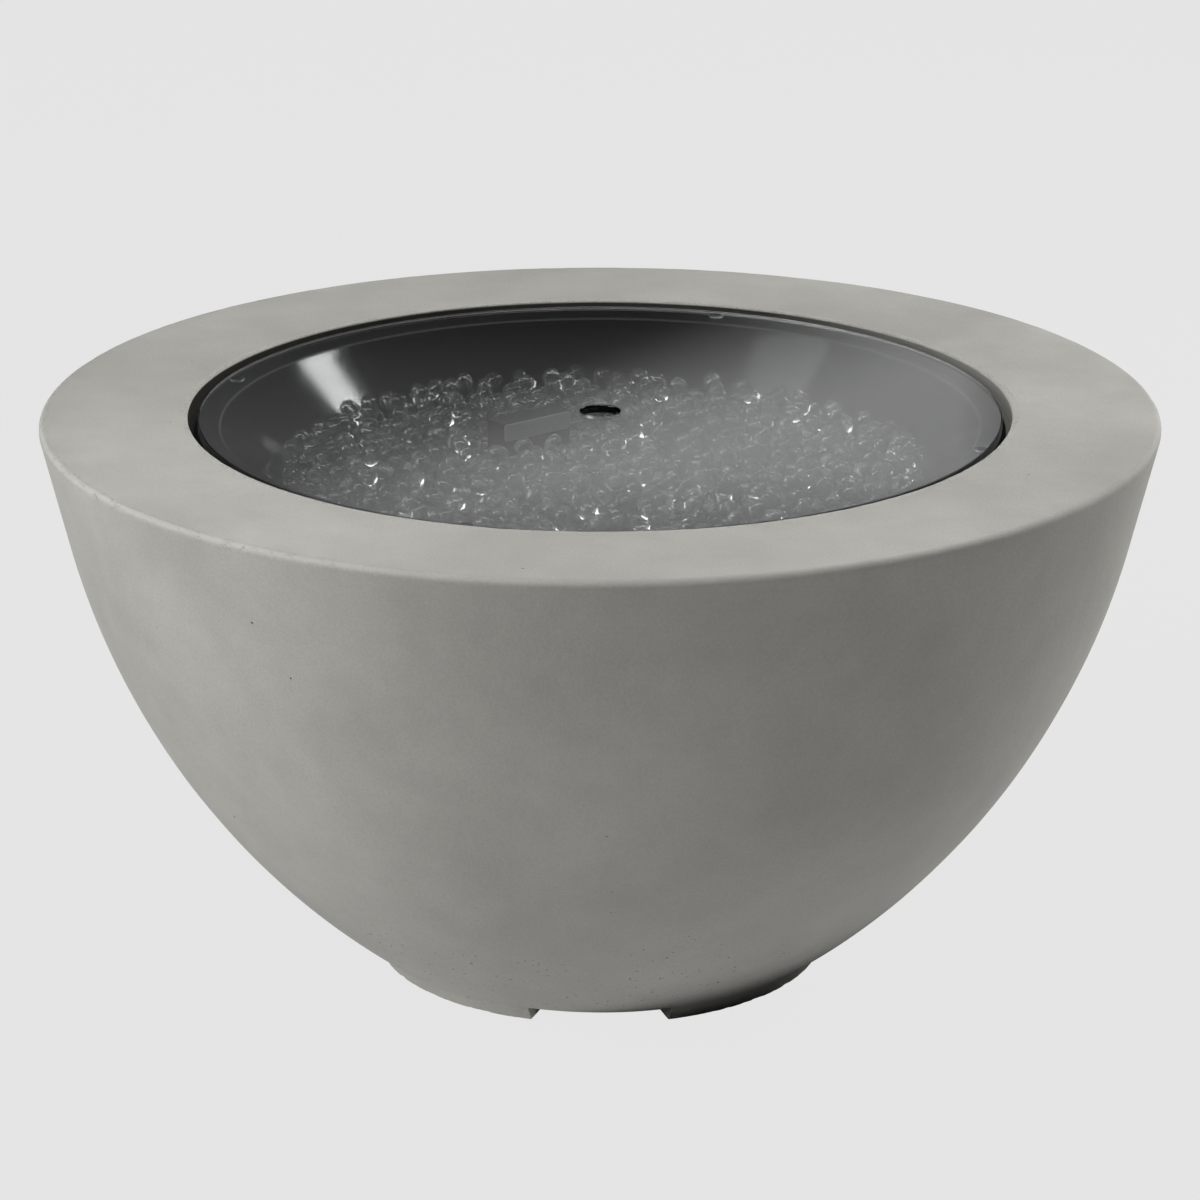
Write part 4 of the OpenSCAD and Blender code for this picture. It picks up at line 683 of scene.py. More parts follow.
class StageSettings(bpy.types.PropertyGroup):
    """Floor, lights and camera."""

    floor_glow: FloatProperty(
        name="Floor glow", description="Light that the pale floor gives by itself", min=0, default=0.772)
    card_glow: FloatProperty(
        name="Card glow", description="Brightest light of the card that the glass cover reflects",
        min=0, default=0.58)
    key_power: FloatProperty(
        name="Key", description="Power of the large light at the front left", subtype="POWER", unit="POWER",
        min=0, default=57.5)
    rim_left_power: FloatProperty(
        name="Rim, left", description="Power of the light above the rim's left",
        subtype="POWER", unit="POWER", min=0, default=9)
    rim_top_power: FloatProperty(
        name="Rim, top", description="Power of the light high above the rim", subtype="POWER", unit="POWER",
        min=0, default=7)
    rim_front_power: FloatProperty(
        name="Rim, front", description="Power of the long light above the rim's front", subtype="POWER",
        unit="POWER", min=0, default=8.2)
    fill_power: FloatProperty(
        name="Fill", description="Power of the low light at the right, behind",
        subtype="POWER", unit="POWER", min=0, default=88)
    gleam_left_power: FloatProperty(
        name="Gleam, left", description="Power of the light that the pan's left wall mirrors",
        subtype="POWER", unit="POWER", min=0, default=5.2)
    gleam_right_power: FloatProperty(
        name="Gleam, right", description="Power of the light that the pan's right wall mirrors",
        subtype="POWER", unit="POWER", min=0, default=0.7)
    lens: FloatProperty(
        name="Lens", description="Focal length in millimetres", min=10, default=150.1)


class FIREPIT_OT_bowl(bpy.types.Operator):
    """Make the cast concrete bowl with its worn edges"""

    bl_idname = "firepit.bowl"
    bl_label = "Concrete Bowl"

    def outline(self):
        """The bowl in section, from the foot's outer side round to its inner side."""
        lean = math.degrees(FLANK_LEAN)
        arc_centre = (BEND_R - FLANK_ARC_R * math.cos(FLANK_LEAN),
                      BEND_Z + FLANK_ARC_R * math.sin(FLANK_LEAN))
        low_turn = -math.degrees(math.asin((arc_centre[1] - FOOT_H) / FLANK_ARC_R))
        rim_centre = (RIM_R - RIM_ROUND, RIM_Z - RIM_ROUND)
        flank = arc(arc_centre, FLANK_ARC_R, low_turn, -lean, 44)
        inner_r = FLANK_ARC_R - WALL
        inner_low = -math.degrees(math.asin((arc_centre[1] - FLOOR_TOP_Z) / inner_r))
        inner = arc(arc_centre, inner_r, -lean, inner_low, 14)
        inner_top_r = inner[0][0] + (RIM_UNDER_Z - inner[0][1]) * math.tan(FLANK_LEAN)
        foot_in = FOOT_R - FOOT_W
        # The foot's outer side carries the flank on, a little steeper, down to its toe
        points = arc((FOOT_TOE_R - FOOT_ROUND, FOOT_ROUND), FOOT_ROUND, -90, -30, 4)
        points += line(points[-1], flank[0], 6)[1:]
        points += flank
        rim = arc(rim_centre, RIM_ROUND, -lean, 90, 9)
        points += line(flank[-1], rim[0], 10)[1:] + rim
        lip = arc((OPENING_R + LIP_ROUND, RIM_Z - LIP_ROUND), LIP_ROUND, 90, 180, 5)
        points += line(rim[-1], lip[0], 12)[1:] + lip
        points += line(lip[-1], (OPENING_R, LEDGE_Z), 3)[1:]
        points += line((OPENING_R, LEDGE_Z), (LEDGE_R, LEDGE_Z), 3)
        points += line((LEDGE_R, LEDGE_Z), (LEDGE_R, RIM_UNDER_Z), 4)
        points += line((LEDGE_R, RIM_UNDER_Z), (inner_top_r, RIM_UNDER_Z), 6)
        points += line((inner_top_r, RIM_UNDER_Z), inner[0], 3) + inner
        points += line(inner[-1], (FLOOR_HOLE_R, FLOOR_TOP_Z), 6)[1:]
        points += line((FLOOR_HOLE_R, FLOOR_TOP_Z), (FLOOR_HOLE_R, FOOT_H), 3)
        points += line((FLOOR_HOLE_R, FOOT_H), (foot_in, FOOT_H), 3)
        points += line((foot_in, FOOT_H), (foot_in, FOOT_ROUND), 3)
        points += arc((foot_in + FOOT_ROUND, FOOT_ROUND), FOOT_ROUND, 180, 270, 4)
        points += line((foot_in + FOOT_ROUND, 0), (FOOT_TOE_R - FOOT_ROUND, 0), 6)[1:]
        return points

    def wear_tree(self):
        """Geometry nodes that make the face uneven and chip the edges."""
        tree, given = new_tree("worn_casting", {
            "Unevenness": ("NodeSocketFloat", 0.0), "Chip Depth": ("NodeSocketFloat", 0.0),
            "Chip Size": ("NodeSocketFloat", 0.01)})
        place = add(tree, "GeometryNodeInputPosition")
        normal = add(tree, "GeometryNodeInputNormal")
        edge = add(tree, "GeometryNodeInputNamedAttribute", {"Name": "edge"}, data_type="FLOAT")
        slow = add(tree, NOISE, {"Vector": place, "Scale": 1 / (70 * MM), "Detail": 3.0})
        inward = add(tree, RANGE, {0: slow, 1: 0.3, 2: 0.6, 3: -1.0, 4: 0.0})
        wander = add(tree, MATH, {0: inward, 1: given["Unevenness"]}, operation="MULTIPLY")
        scale = add(tree, MATH, {0: 1.0, 1: given["Chip Size"]}, operation="DIVIDE")
        rough = add(tree, NOISE, {"Vector": place, "Scale": scale, "Detail": 4.0})
        chips = add(tree, RANGE, {0: rough, 1: 0.5, 2: 0.72})
        bite = add(tree, MATH, {0: chips, 1: edge}, operation="MULTIPLY")
        bite = add(tree, MATH, {0: bite, 1: given["Chip Depth"]}, operation="MULTIPLY")
        reach = add(tree, MATH, {0: wander, 1: bite}, operation="SUBTRACT")
        offset = add(tree, VECTOR, {0: normal, "Scale": reach}, operation="SCALE")
        moved = add(tree, "GeometryNodeSetPosition", {"Geometry": given["Geometry"], "Offset": offset})
        close_tree(tree, given, moved)
        return tree

    def openings(self, bowl):
        """Cut the two notches of the foot, and the panel's recess with the window behind it."""
        reach = FOOT_R + 40 * MM
        half = reach * math.tan(NOTCH_HALF_ANGLE)
        for side in (-1, 1):
            wedge = [(0, 0), (side * -half, side * reach), (side * half, side * reach)]
            cut(bowl, prism(wedge, -10 * MM, FOOT_H))
        wide, high = PANEL_SIZE
        recess = rounded_rectangle(wide + PANEL_ROOM, high + PANEL_ROOM, 6 * MM)
        cut(bowl, prism(recess, -PANEL_SINK - PANEL_T, 40 * MM, PANEL_FRAME))
        window = rounded_rectangle(wide - PANEL_REBATE, high - PANEL_REBATE, 1 * MM, 3)
        cut(bowl, prism(window, -80 * MM, 0, PANEL_FRAME))

    def near(self, out, up, spread):
        """How near points are to a corner, from their distances out and up: 1 at it, fading out."""
        return np.exp(-(np.hypot(out, up) / spread) ** 2)

    def mark_edges(self, bowl):
        """Note how much each point may chip: the rim's edge a little, the notches' corners most."""
        co = np.empty(len(bowl.data.vertices) * 3, np.float32)
        bowl.data.vertices.foreach_get("co", co)
        across, away, height = co.reshape(-1, 3).T
        radius = np.hypot(across, away)
        rim = self.near(radius - RIM_R + RIM_ROUND / 2, height - RIM_Z + RIM_ROUND / 2, 4 * MM)
        lip = self.near(radius - OPENING_R - 1 * MM, height - RIM_Z + 1 * MM, 3 * MM)
        foot = self.near(radius - FOOT_TOE_R, height - 1 * MM, 5 * MM)
        turn = np.abs(np.abs(np.arctan2(across, np.abs(away))) - NOTCH_HALF_ANGLE) * radius
        corner = np.exp(-(turn / (6 * MM)) ** 2)
        corner = corner * (height < FOOT_H + 1 * MM) * (radius > FOOT_TOE_R - 6 * MM)
        edge = np.clip(RIM_CHIP * rim + LIP_CHIP * lip + FOOT_CHIP * foot + NOTCH_CHIP * corner, 0, 1)
        marks = bowl.data.attributes.new("edge", "FLOAT", "POINT")
        marks.data.foreach_set("value", edge.astype(np.float32))

    def execute(self, context):
        settings = context.scene.fire_pit
        material = cast_concrete(settings)
        bm = revolve(bmesh.new(), self.outline(), 560)
        bowl = piece_from_bmesh("bowl_source", bm, material)
        self.openings(bowl)
        self.mark_edges(bowl)
        sizes = {"Unevenness": settings.unevenness, "Chip Depth": settings.chip_depth,
                 "Chip Size": CHIP_SIZE}
        run_tree(bowl, self.wear_tree(), sizes, material)
        finish_piece(baked(bowl, "concrete_bowl", material, 45), "fire_pit", "cast_concrete", *BOWL_RINGS)
        return {"FINISHED"}


class FIREPIT_OT_pan(bpy.types.Operator):
    """Make the conical burner pan with its rounded bends and holes"""

    bl_idname = "firepit.pan"
    bl_label = "Burner Pan"

    def outline(self):
        """The pan's sheet in section: its upper side from the hole out, then back along its underside."""
        slope = math.degrees(math.atan2(FLANGE_Z - PAN_FLOOR_Z, PAN_R - PAN_FLOOR_R))
        half = math.radians(slope / 2)
        floor_r = PAN_FLOOR_R - PAN_BEND * math.tan(half)
        upper = line((PIPE_HOLE_R, PAN_FLOOR_Z), (floor_r, PAN_FLOOR_Z), 6)
        upper += arc((floor_r, PAN_FLOOR_Z + PAN_BEND), PAN_BEND, -90, slope - 90, 5)
        bend = (PAN_R + PAN_BEND * math.tan(half), FLANGE_Z - PAN_BEND)
        top = arc(bend, PAN_BEND, slope + 90, 90, 5)
        upper += line(upper[-1], top[0], 10)[1:] + top
        upper += [(PAN_FLANGE_R - 0.4 * MM, FLANGE_Z), (PAN_FLANGE_R, FLANGE_Z - 0.4 * MM)]
        corner = PAN_T * math.tan(half)
        lower = [(PAN_FLANGE_R, FLANGE_Z - PAN_T), (PAN_R + corner + 1 * MM, FLANGE_Z - PAN_T)]
        lower += line((PAN_R + corner, FLANGE_Z - PAN_T), (PAN_FLOOR_R + corner, PAN_FLOOR_Z - PAN_T), 8)
        lower += line((PAN_FLOOR_R + corner, PAN_FLOOR_Z - PAN_T), (PIPE_HOLE_R, PAN_FLOOR_Z - PAN_T), 6)
        lower += [(PIPE_HOLE_R, PAN_FLOOR_Z - PAN_T)]
        return upper + lower

    def execute(self, context):
        settings = context.scene.fire_pit
        material = spun_stainless(list(settings.steel))
        bm = revolve(bmesh.new(), self.outline(), 320)
        pan = piece_from_bmesh("pan_source", bm, material)
        low, high = PAN_FLOOR_Z - 20 * MM, PAN_FLOOR_Z + 10 * MM
        for middle in circle(WEEP_RING_R, WEEP_HOLES):
            cut(pan, prism(circle(WEEP_R, 20, middle), low, high))
        pilot = Matrix.Rotation(HOOD_ANGLE, 4, "Z") @ Matrix.Translation((HOOD_PLACE_R, 0, 0))
        for along, radius in PILOT_HOLES:
            cut(pan, prism(circle(radius * MM, 16, (0, along * MM)), low, high, pilot))
        finish_piece(baked(pan, "burner_pan_sheet", material, 30), "fire_pit", "stainless_pan", *PAN_SHEETS)
        return {"FINISHED"}


class FIREPIT_OT_cover(bpy.types.Operator):
    """Make the round glass cover and its clear bumpers"""

    bl_idname = "firepit.cover"
    bl_label = "Glass Cover"

    def execute(self, context):
        low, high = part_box("glass_cover")
        inner, outer, edge = FINGER_HOLE_R, high.x, GLASS_ROUND
        # A ring close to each rounded edge keeps the broad faces truly flat, so that they are no lens
        outline = []
        for r, z, start in ((outer - edge, high.z - edge, 0), (inner + edge, high.z - edge, 90),
                            (inner + edge, low.z + edge, 180), (outer - edge, low.z + edge, 270)):
            outline += arc((r, z), edge, start, start + 90, 5)
            if start in (0, 180):
                step = edge / 3 if start else -edge / 3
                level, far = outline[-1][1], inner + outer - r - step
                outline += line((r + step, level), (far, level), 8) + [(far, level)]
        glass = piece_from_bmesh("cover_glass", revolve(bmesh.new(), outline, 320), tempered_glass(), 60)
        finish_piece(glass, "cover", "tempered_glass", "glass_cover")
        foot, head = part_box("cover_bumpers")
        dome = [(0, foot.z), (3.4 * MM, foot.z), (4.8 * MM, foot.z + 0.5 * MM),
                (5.3 * MM, foot.z + 1.1 * MM), (5.3 * MM, head.z), (0, head.z)]
        source = piece_from_bmesh("bumper_source", revolve(bmesh.new(), dome, 28), clear_bumper(), 50)
        tree, given = new_tree("bumper_ring", {
            "Radius": ("NodeSocketFloat", 0.26), "Count": ("NodeSocketInt", 4),
            "First Angle": ("NodeSocketFloat", 0.0)})
        ring = add(tree, "GeometryNodeMeshCircle", {"Vertices": given["Count"], "Radius": given["Radius"]})
        turn = add(tree, "ShaderNodeCombineXYZ", {2: given["First Angle"]})
        placed = add(tree, "GeometryNodeTransform", {"Geometry": ring, "Rotation": turn})
        copies = add(tree, "GeometryNodeInstanceOnPoints", {"Points": placed, "Instance": given["Geometry"]})
        close_tree(tree, given, copies)
        material = source.data.materials[0]
        sizes = {"Radius": BUMPER_RING_R, "Count": BUMPER_COUNT, "First Angle": BUMPER_TURN}
        run_tree(source, tree, sizes, material)
        bumpers = baked(source, "cover_bumper_set", material, 50)
        finish_piece(bumpers, "cover", "clear_bumper", "cover_bumpers")
        return {"FINISHED"}


class FIREPIT_OT_fire_glass(bpy.types.Operator):
    """Scatter the fire glass gems over the bed"""

    bl_idname = "firepit.fire_glass"
    bl_label = "Fire Glass"

    def mound(self, lift, reach, clear):
        """The surface that a layer of gems lies on: the bed's low cone, raised, clear of the pan's wall."""
        steep = (FLANGE_Z - PAN_FLOOR_Z) / (PAN_R - PAN_FLOOR_R)
        bm = bmesh.new()
        rings = []
        for i in range(25):
            r = reach * i / 24
            z = BED_MIDDLE_Z + (BED_EDGE_Z - BED_MIDDLE_Z) * r / BED_EDGE_R + lift
            z = max(z, PAN_FLOOR_Z + (r - PAN_FLOOR_R) * steep + clear)
            places = circle(r, 64) if i else [(0, 0)]
            rings.append([bm.verts.new((x, y, z)) for x, y in places])
        for i in range(1, 25):
            for k in range(64):
                n = (k + 1) % 64
                inner = (rings[0][0],) if i == 1 else (rings[i - 1][n], rings[i - 1][k])
                bm.faces.new((rings[i][k], rings[i][n]) + inner)
        return bm

    def gem_tree(self):
        """Geometry nodes that strew rounded gems over a surface, clear of the hood."""
        tree, given = new_tree("strewn_gems", {
            "Spacing": ("NodeSocketFloat", 0.01), "Size": ("NodeSocketFloat", 0.01),
            "Jitter": ("NodeSocketFloat", 0.0), "Hood Gap": ("NodeSocketFloat", 0.005),
            "Seed": ("NodeSocketInt", 0)})
        points = add(tree, "GeometryNodeDistributePointsOnFaces", {
            "Mesh": given["Geometry"], "Distance Min": given["Spacing"], "Density Max": 60000.0,
            "Seed": given["Seed"]}, "Points", distribute_method="POISSON")
        # The hood's own frame tells which points would lie in it
        place = add(tree, "GeometryNodeInputPosition")
        turned = add(tree, "ShaderNodeVectorRotate", {"Vector": place, "Angle": -HOOD_ANGLE},
                     rotation_type="Z_AXIS")
        local = add(tree, VECTOR, {0: turned, 1: (HOOD_PLACE_R, 0, 0)}, operation="SUBTRACT")
        local = add(tree, VECTOR, {0: local}, operation="ABSOLUTE")
        out, along, _ = add(tree, "ShaderNodeSeparateXYZ", {0: local}, None).outputs
        clear = add(tree, MATH, {0: given["Hood Gap"], 1: HOOD_HALF[0]}, operation="ADD")
        near = add(tree, MATH, {0: out, 1: clear}, operation="LESS_THAN")
        clear = add(tree, MATH, {0: given["Hood Gap"], 1: HOOD_HALF[1]}, operation="ADD")
        beside = add(tree, MATH, {0: along, 1: clear}, operation="LESS_THAN")
        inside = add(tree, MATH, {0: near, 1: beside}, operation="MULTIPLY")
        kept = add(tree, "GeometryNodeDeleteGeometry", {"Geometry": points, "Selection": inside},
                   domain="POINT")
        hop = add(tree, "FunctionNodeRandomValue", {2: -1.0, 3: 1.0, 8: given["Seed"]}, 1, data_type="FLOAT")
        hop = add(tree, MATH, {0: hop, 1: given["Jitter"]}, operation="MULTIPLY")
        lift = add(tree, "ShaderNodeCombineXYZ", {2: hop})
        loose = add(tree, "GeometryNodeSetPosition", {"Geometry": kept, "Offset": lift})
        # One gem is a small cube with its corners drawn in to a ball
        cube = add(tree, "GeometryNodeMeshCube", {
            "Size": (1, 1, 1), "Vertices X": 4, "Vertices Y": 4, "Vertices Z": 4})
        ball = add(tree, VECTOR, {0: place}, operation="NORMALIZE")
        ball = add(tree, VECTOR, {0: ball, "Scale": 0.53}, operation="SCALE")
        gem = add(tree, "GeometryNodeSetPosition", {"Geometry": cube, "Position": ball})
        spin = add(tree, "FunctionNodeRandomValue", {
            0: (0, 0, 0), 1: (6.283, 6.283, 6.283), 8: given["Seed"]}, data_type="FLOAT_VECTOR")
        shape = add(tree, "FunctionNodeRandomValue", {
            0: (0.9, 0.85, 0.7), 1: (1.25, 1.05, 0.95), 8: given["Seed"]}, data_type="FLOAT_VECTOR")
        scale = add(tree, VECTOR, {0: shape, "Scale": given["Size"]}, operation="SCALE")
        strewn = add(tree, "GeometryNodeInstanceOnPoints", {
            "Points": loose, "Instance": gem, "Rotation": spin, "Scale": scale})
        real = add(tree, "GeometryNodeRealizeInstances", {0: strewn})
        normal = add(tree, "GeometryNodeInputNormal")
        lumps = add(tree, NOISE, {"Vector": place, "Scale": 1 / (9 * MM), "Detail": 1.0})
        swell = add(tree, RANGE, {0: lumps, 3: -0.06, 4: 0.06})
        swell = add(tree, MATH, {0: swell, 1: given["Size"]}, operation="MULTIPLY")
        push = add(tree, VECTOR, {0: normal, "Scale": swell}, operation="SCALE")
        close_tree(tree, given, add(tree, "GeometryNodeSetPosition", {"Geometry": real, "Offset": push}))
        return tree

    def execute(self, context):
        settings = context.scene.fire_pit
        paint_node("fire_glass_bed", settled_glass())
        glass = fire_glass()
        tree = self.gem_tree()
        size = settings.gem_size
        # Each layer's name, height above the bed, outer radius, sparseness, play and gap to the hood
        layers = (("fire_glass_lower", 3 * MM, BED_EDGE_R + 6 * MM, 1.0, 1 * MM, size * 0.6),
                  ("fire_glass_upper", 11.5 * MM, BED_EDGE_R + 2 * MM, 1.45, 1.5 * MM, size * 1.3))
        for i, (name, lift, reach, sparse, jitter, gap) in enumerate(layers):
            source = piece_from_bmesh(name + "_source", self.mound(lift, reach, size * 0.6), glass)
            run_tree(source, tree, {
                "Spacing": settings.gem_spacing * sparse, "Size": size, "Jitter": jitter,
                "Hood Gap": gap, "Seed": settings.gem_seed + i}, glass)
            finish_piece(baked(source, name, glass, 80), "fire_pit", "fire_glass", "fire_glass_gems")
        return {"FINISHED"}


class FIREPIT_OT_pilot(bpy.types.Operator):
    """Dress the pilot's hood, electrode and fixings"""

    bl_idname = "firepit.pilot"
    bl_label = "Pilot"

    def lip(self, top):
        """The hood's folded lip: a brushed strip along the top of the side that faces the middle."""
        brushed = rolled_stainless("brushed_lip", linear("#b2b3b3"), 0.5, 0.5 * MM, (1, 1, 10))
        strip = rounded_rectangle(2 * HOOD_HALF[1] - 1 * MM, HOOD_LIP_H, 1.5 * MM, 5)
        middle = (HOOD_PLACE_R - HOOD_HALF[0], 0, top - 6.4 * MM)
        facing = Matrix.Rotation(HOOD_ANGLE, 4, "Z") @ Matrix.Translation(middle)
        upright = facing @ Matrix(((0, 0, -1, 0), (1, 0, 0, 0), (0, 1, 0, 0), (0, 0, 0, 1)))
        source = prism(strip, 0, HOOD_LIP_T, upright)
        modifier = source.modifiers.new("edges", "BEVEL")
        modifier.width = 0.3 * MM
        modifier.segments = 2
        modifier.limit_method = "ANGLE"
        finish_piece(baked(source, "pilot_hood_lip", brushed, 50), "fire_pit", "stainless_sheet")

    def execute(self, context):
        steel = rolled_stainless("stainless_sheet", linear("#a7aaab"), 0.38, 0.6 * MM, (1, 1, 8))
        hood = softened("pilot_hood", "pilot_hood_sheet", soot_and_shade_steel(), 0.35 * MM)
        finish_piece(hood, "fire_pit", "stainless_sheet", "pilot_hood")
        self.lip(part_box("pilot_hood")[1].z)
        paint_node("pilot_bracket", steel)
        paint_node("electrode_insulator", moulded_plastic("white_ceramic", linear("#dedad0"), 0.2))
        paint_node("spark_electrode", steel)
        return {"FINISHED"}


class FIREPIT_OT_controls(bpy.types.Operator):
    """Dress the control panel, the knob and the igniter"""

    bl_idname = "firepit.controls"
    bl_label = "Controls"

    def execute(self, context):
        brushed = rolled_stainless("brushed_panel", linear("#a9acad"), 0.32, 0.5 * MM, (40, 1, 1))
        panel = softened("control_panel", "control_panel_sheet", brushed, 0.3 * MM)
        finish_piece(panel, "fire_pit", "brushed_panel", "control_panel")
        black = moulded_plastic("black_plastic", linear("#232426"))
        knob = softened("control_knob", "control_knob_cap", black, 0.35 * MM)
        finish_piece(knob, "knob", "black_plastic", "control_knob")
        for node, name in (("igniter_barrel", "igniter_bezel"), ("igniter_nut", "igniter_ring_nut")):
            finish_piece(softened(node, name, black, 0.3 * MM), "fire_pit", "black_plastic", node)
        satin = moulded_plastic("button_plastic", linear("#1d1e20"), 0.3)
        button = softened("igniter_button", "igniter_cap", satin, 0.4 * MM)
        finish_piece(button, "button", "button_plastic", "igniter_button")
        plated = turned_metal("plated_steel", linear("#b9bbbc"), 0.28)
        for node in ("panel_screws", "valve_screws", "pilot_screws"):
            screws = softened(node, node + "_plated", plated, 0.25 * MM)
            finish_piece(screws, "fire_pit", "plated_steel", node)
        for node in ("pilot_nuts", "burner_washer", "valve_stem"):
            paint_node(node, plated)
        paint_node("knob_set_screw", turned_metal("black_steel", linear("#3a3c3e"), 0.4))
        # A white line let into the knob's pointer
        bm = bmesh.new()
        top = [bm.verts.new(PANEL_FRAME @ Vector((VALVE_X + x, POINTER_UP + y, KNOB_FRONT + 0.9 * MM)))
               for x, y in rounded_rectangle(1.4 * MM, 9 * MM, 0.6 * MM, 4)]
        foot = [bm.verts.new(PANEL_FRAME @ Vector((VALVE_X + x, POINTER_UP + y, KNOB_FRONT + 0.6 * MM)))
                for x, y in rounded_rectangle(1.6 * MM, 9.2 * MM, 0.7 * MM, 4)]
        bm.faces.new(top)
        bm.faces.new(foot)
        for i in range(len(top)):
            n = (i + 1) % len(top)
            bm.faces.new((top[i], top[n], foot[n], foot[i]))
        white = moulded_plastic("white_inlay", linear("#e4e3df"), 0.4)
        finish_piece(piece_from_bmesh("knob_pointer_line", bm, white), "knob", "black_plastic")
        return {"FINISHED"}


class FIREPIT_OT_gas_train(bpy.types.Operator):
    """Finish the burner, the valve, the fittings, the gas line and the leads"""

    bl_idname = "firepit.gas_train"
    bl_label = "Gas Train"

    def smooth(self, route, steps=8):
        """A curve through a route's points, in metres, with a few steps between each two."""
        points = [Vector(p) * MM for p in route]
        path = []
        for i in range(len(points) - 1):
            a, b = points[max(i - 1, 0)], points[i]
            c, d = points[i + 1], points[min(i + 2, len(points) - 1)]
            for k in range(steps):
                t = k / steps
                path.append(0.5 * (2 * b + (c - a) * t + (2 * a - 5 * b + 4 * c - d) * t * t
                                   + (3 * b - a - 3 * c + d) * t * t * t))
        return path + [points[-1]]

    def line_tree(self):
        """Geometry nodes that draw a round line along a route, ribbed where it has a rib depth."""
        tree, given = new_tree("line_on_route", {
            "Radius": ("NodeSocketFloat", 0.005), "Rib Depth": ("NodeSocketFloat", 0.0),
            "Rib Pitch": ("NodeSocketFloat", 0.005)})
        even = add(tree, "GeometryNodeResampleCurve", {"Curve": given["Geometry"], "Length": 0.75 * MM},
                   mode="LENGTH")
        run = add(tree, "GeometryNodeSplineParameter", out="Length")
        turns = add(tree, MATH, {0: run, 1: given["Rib Pitch"]}, operation="DIVIDE")
        wave = add(tree, MATH, {0: turns, 1: 2 * math.pi}, operation="MULTIPLY")
        wave = add(tree, MATH, {0: wave}, operation="COSINE")
        wave = add(tree, RANGE, {0: wave, 1: -1.0, 2: 1.0})
        dip = add(tree, MATH, {0: wave, 1: given["Rib Depth"]}, operation="MULTIPLY")
        radius = add(tree, MATH, {0: given["Radius"], 1: dip}, operation="SUBTRACT")
        ring = add(tree, "GeometryNodeCurvePrimitiveCircle", {"Resolution": 16, "Radius": 1.0})
        tube = add(tree, "GeometryNodeCurveToMesh", {
            "Curve": even, "Profile Curve": ring, "Scale": radius, "Fill Caps": True})
        close_tree(tree, given, tube)
        return tree

    def execute(self, context):
        settings = context.scene.fire_pit
        brass = turned_metal("brass", linear("#b9975a"), 0.3)
        tube = rolled_stainless("stainless_tube", list(settings.steel), 0.3)
        copper = turned_metal("copper", linear("#b87a4b"), 0.35)
        spring = turned_metal("spring_steel", linear("#9da0a2"), 0.25)
        battery = moulded_plastic("battery_can", linear("#8f8356"), 0.35)
        finishes = {
            "burner_ring": tube, "burner_lock_nut": brass, "air_mixer": tube, "gas_orifice": brass,
            "flex_nuts": brass, "panel_inserts": brass, "gas_valve": brass, "inlet_fitting": brass,
            "valve_plug": brass, "thermocouple_nut": brass, "stem_spring": spring, "igniter_spring": spring,
            "thermocouple": copper, "igniter_battery": battery,
        }
        for node, material in finishes.items():
            paint_node(node, material)
        coated = moulded_plastic("coated_gas_line", linear("#c3ad3f"), 0.4)
        sleeve = moulded_plastic("silicone_lead", linear("#a8432e"), 0.5)
        tree = self.line_tree()
        # Each line's node, piece name, route, radius and rib depth in millimetres, slot and finish
        lines = (
            ("flex_line", "corrugated_gas_line", GAS_ROUTE, 6.5, 0.9, "coated_gas_line", coated),
            ("ignition_lead", "sleeved_ignition_lead", IGNITION_ROUTE, 1.75, 0, "silicone_lead", sleeve),
            ("thermocouple_lead", "drawn_thermocouple_lead", SENSOR_ROUTE, 1.5, 0, "copper", copper))
        for node, name, route, radius, ribs, slot, material in lines:
            curve = bpy.data.curves.new(name + "_route", "CURVE")
            curve.dimensions = "3D"
            spline = curve.splines.new("POLY")
            path = self.smooth(route)
            spline.points.add(len(path) - 1)
            for point, at in zip(spline.points, path):
                point.co = (*at, 1)
            source = bpy.data.objects.new(name + "_route", curve)
            bpy.context.scene.collection.objects.link(source)
            sizes = {"Radius": radius * MM, "Rib Depth": ribs * MM, "Rib Pitch": 4.5 * MM}
            run_tree(source, tree, sizes, material)
            finish_piece(baked(source, name, material, 60), "fire_pit", slot, node)
        return {"FINISHED"}


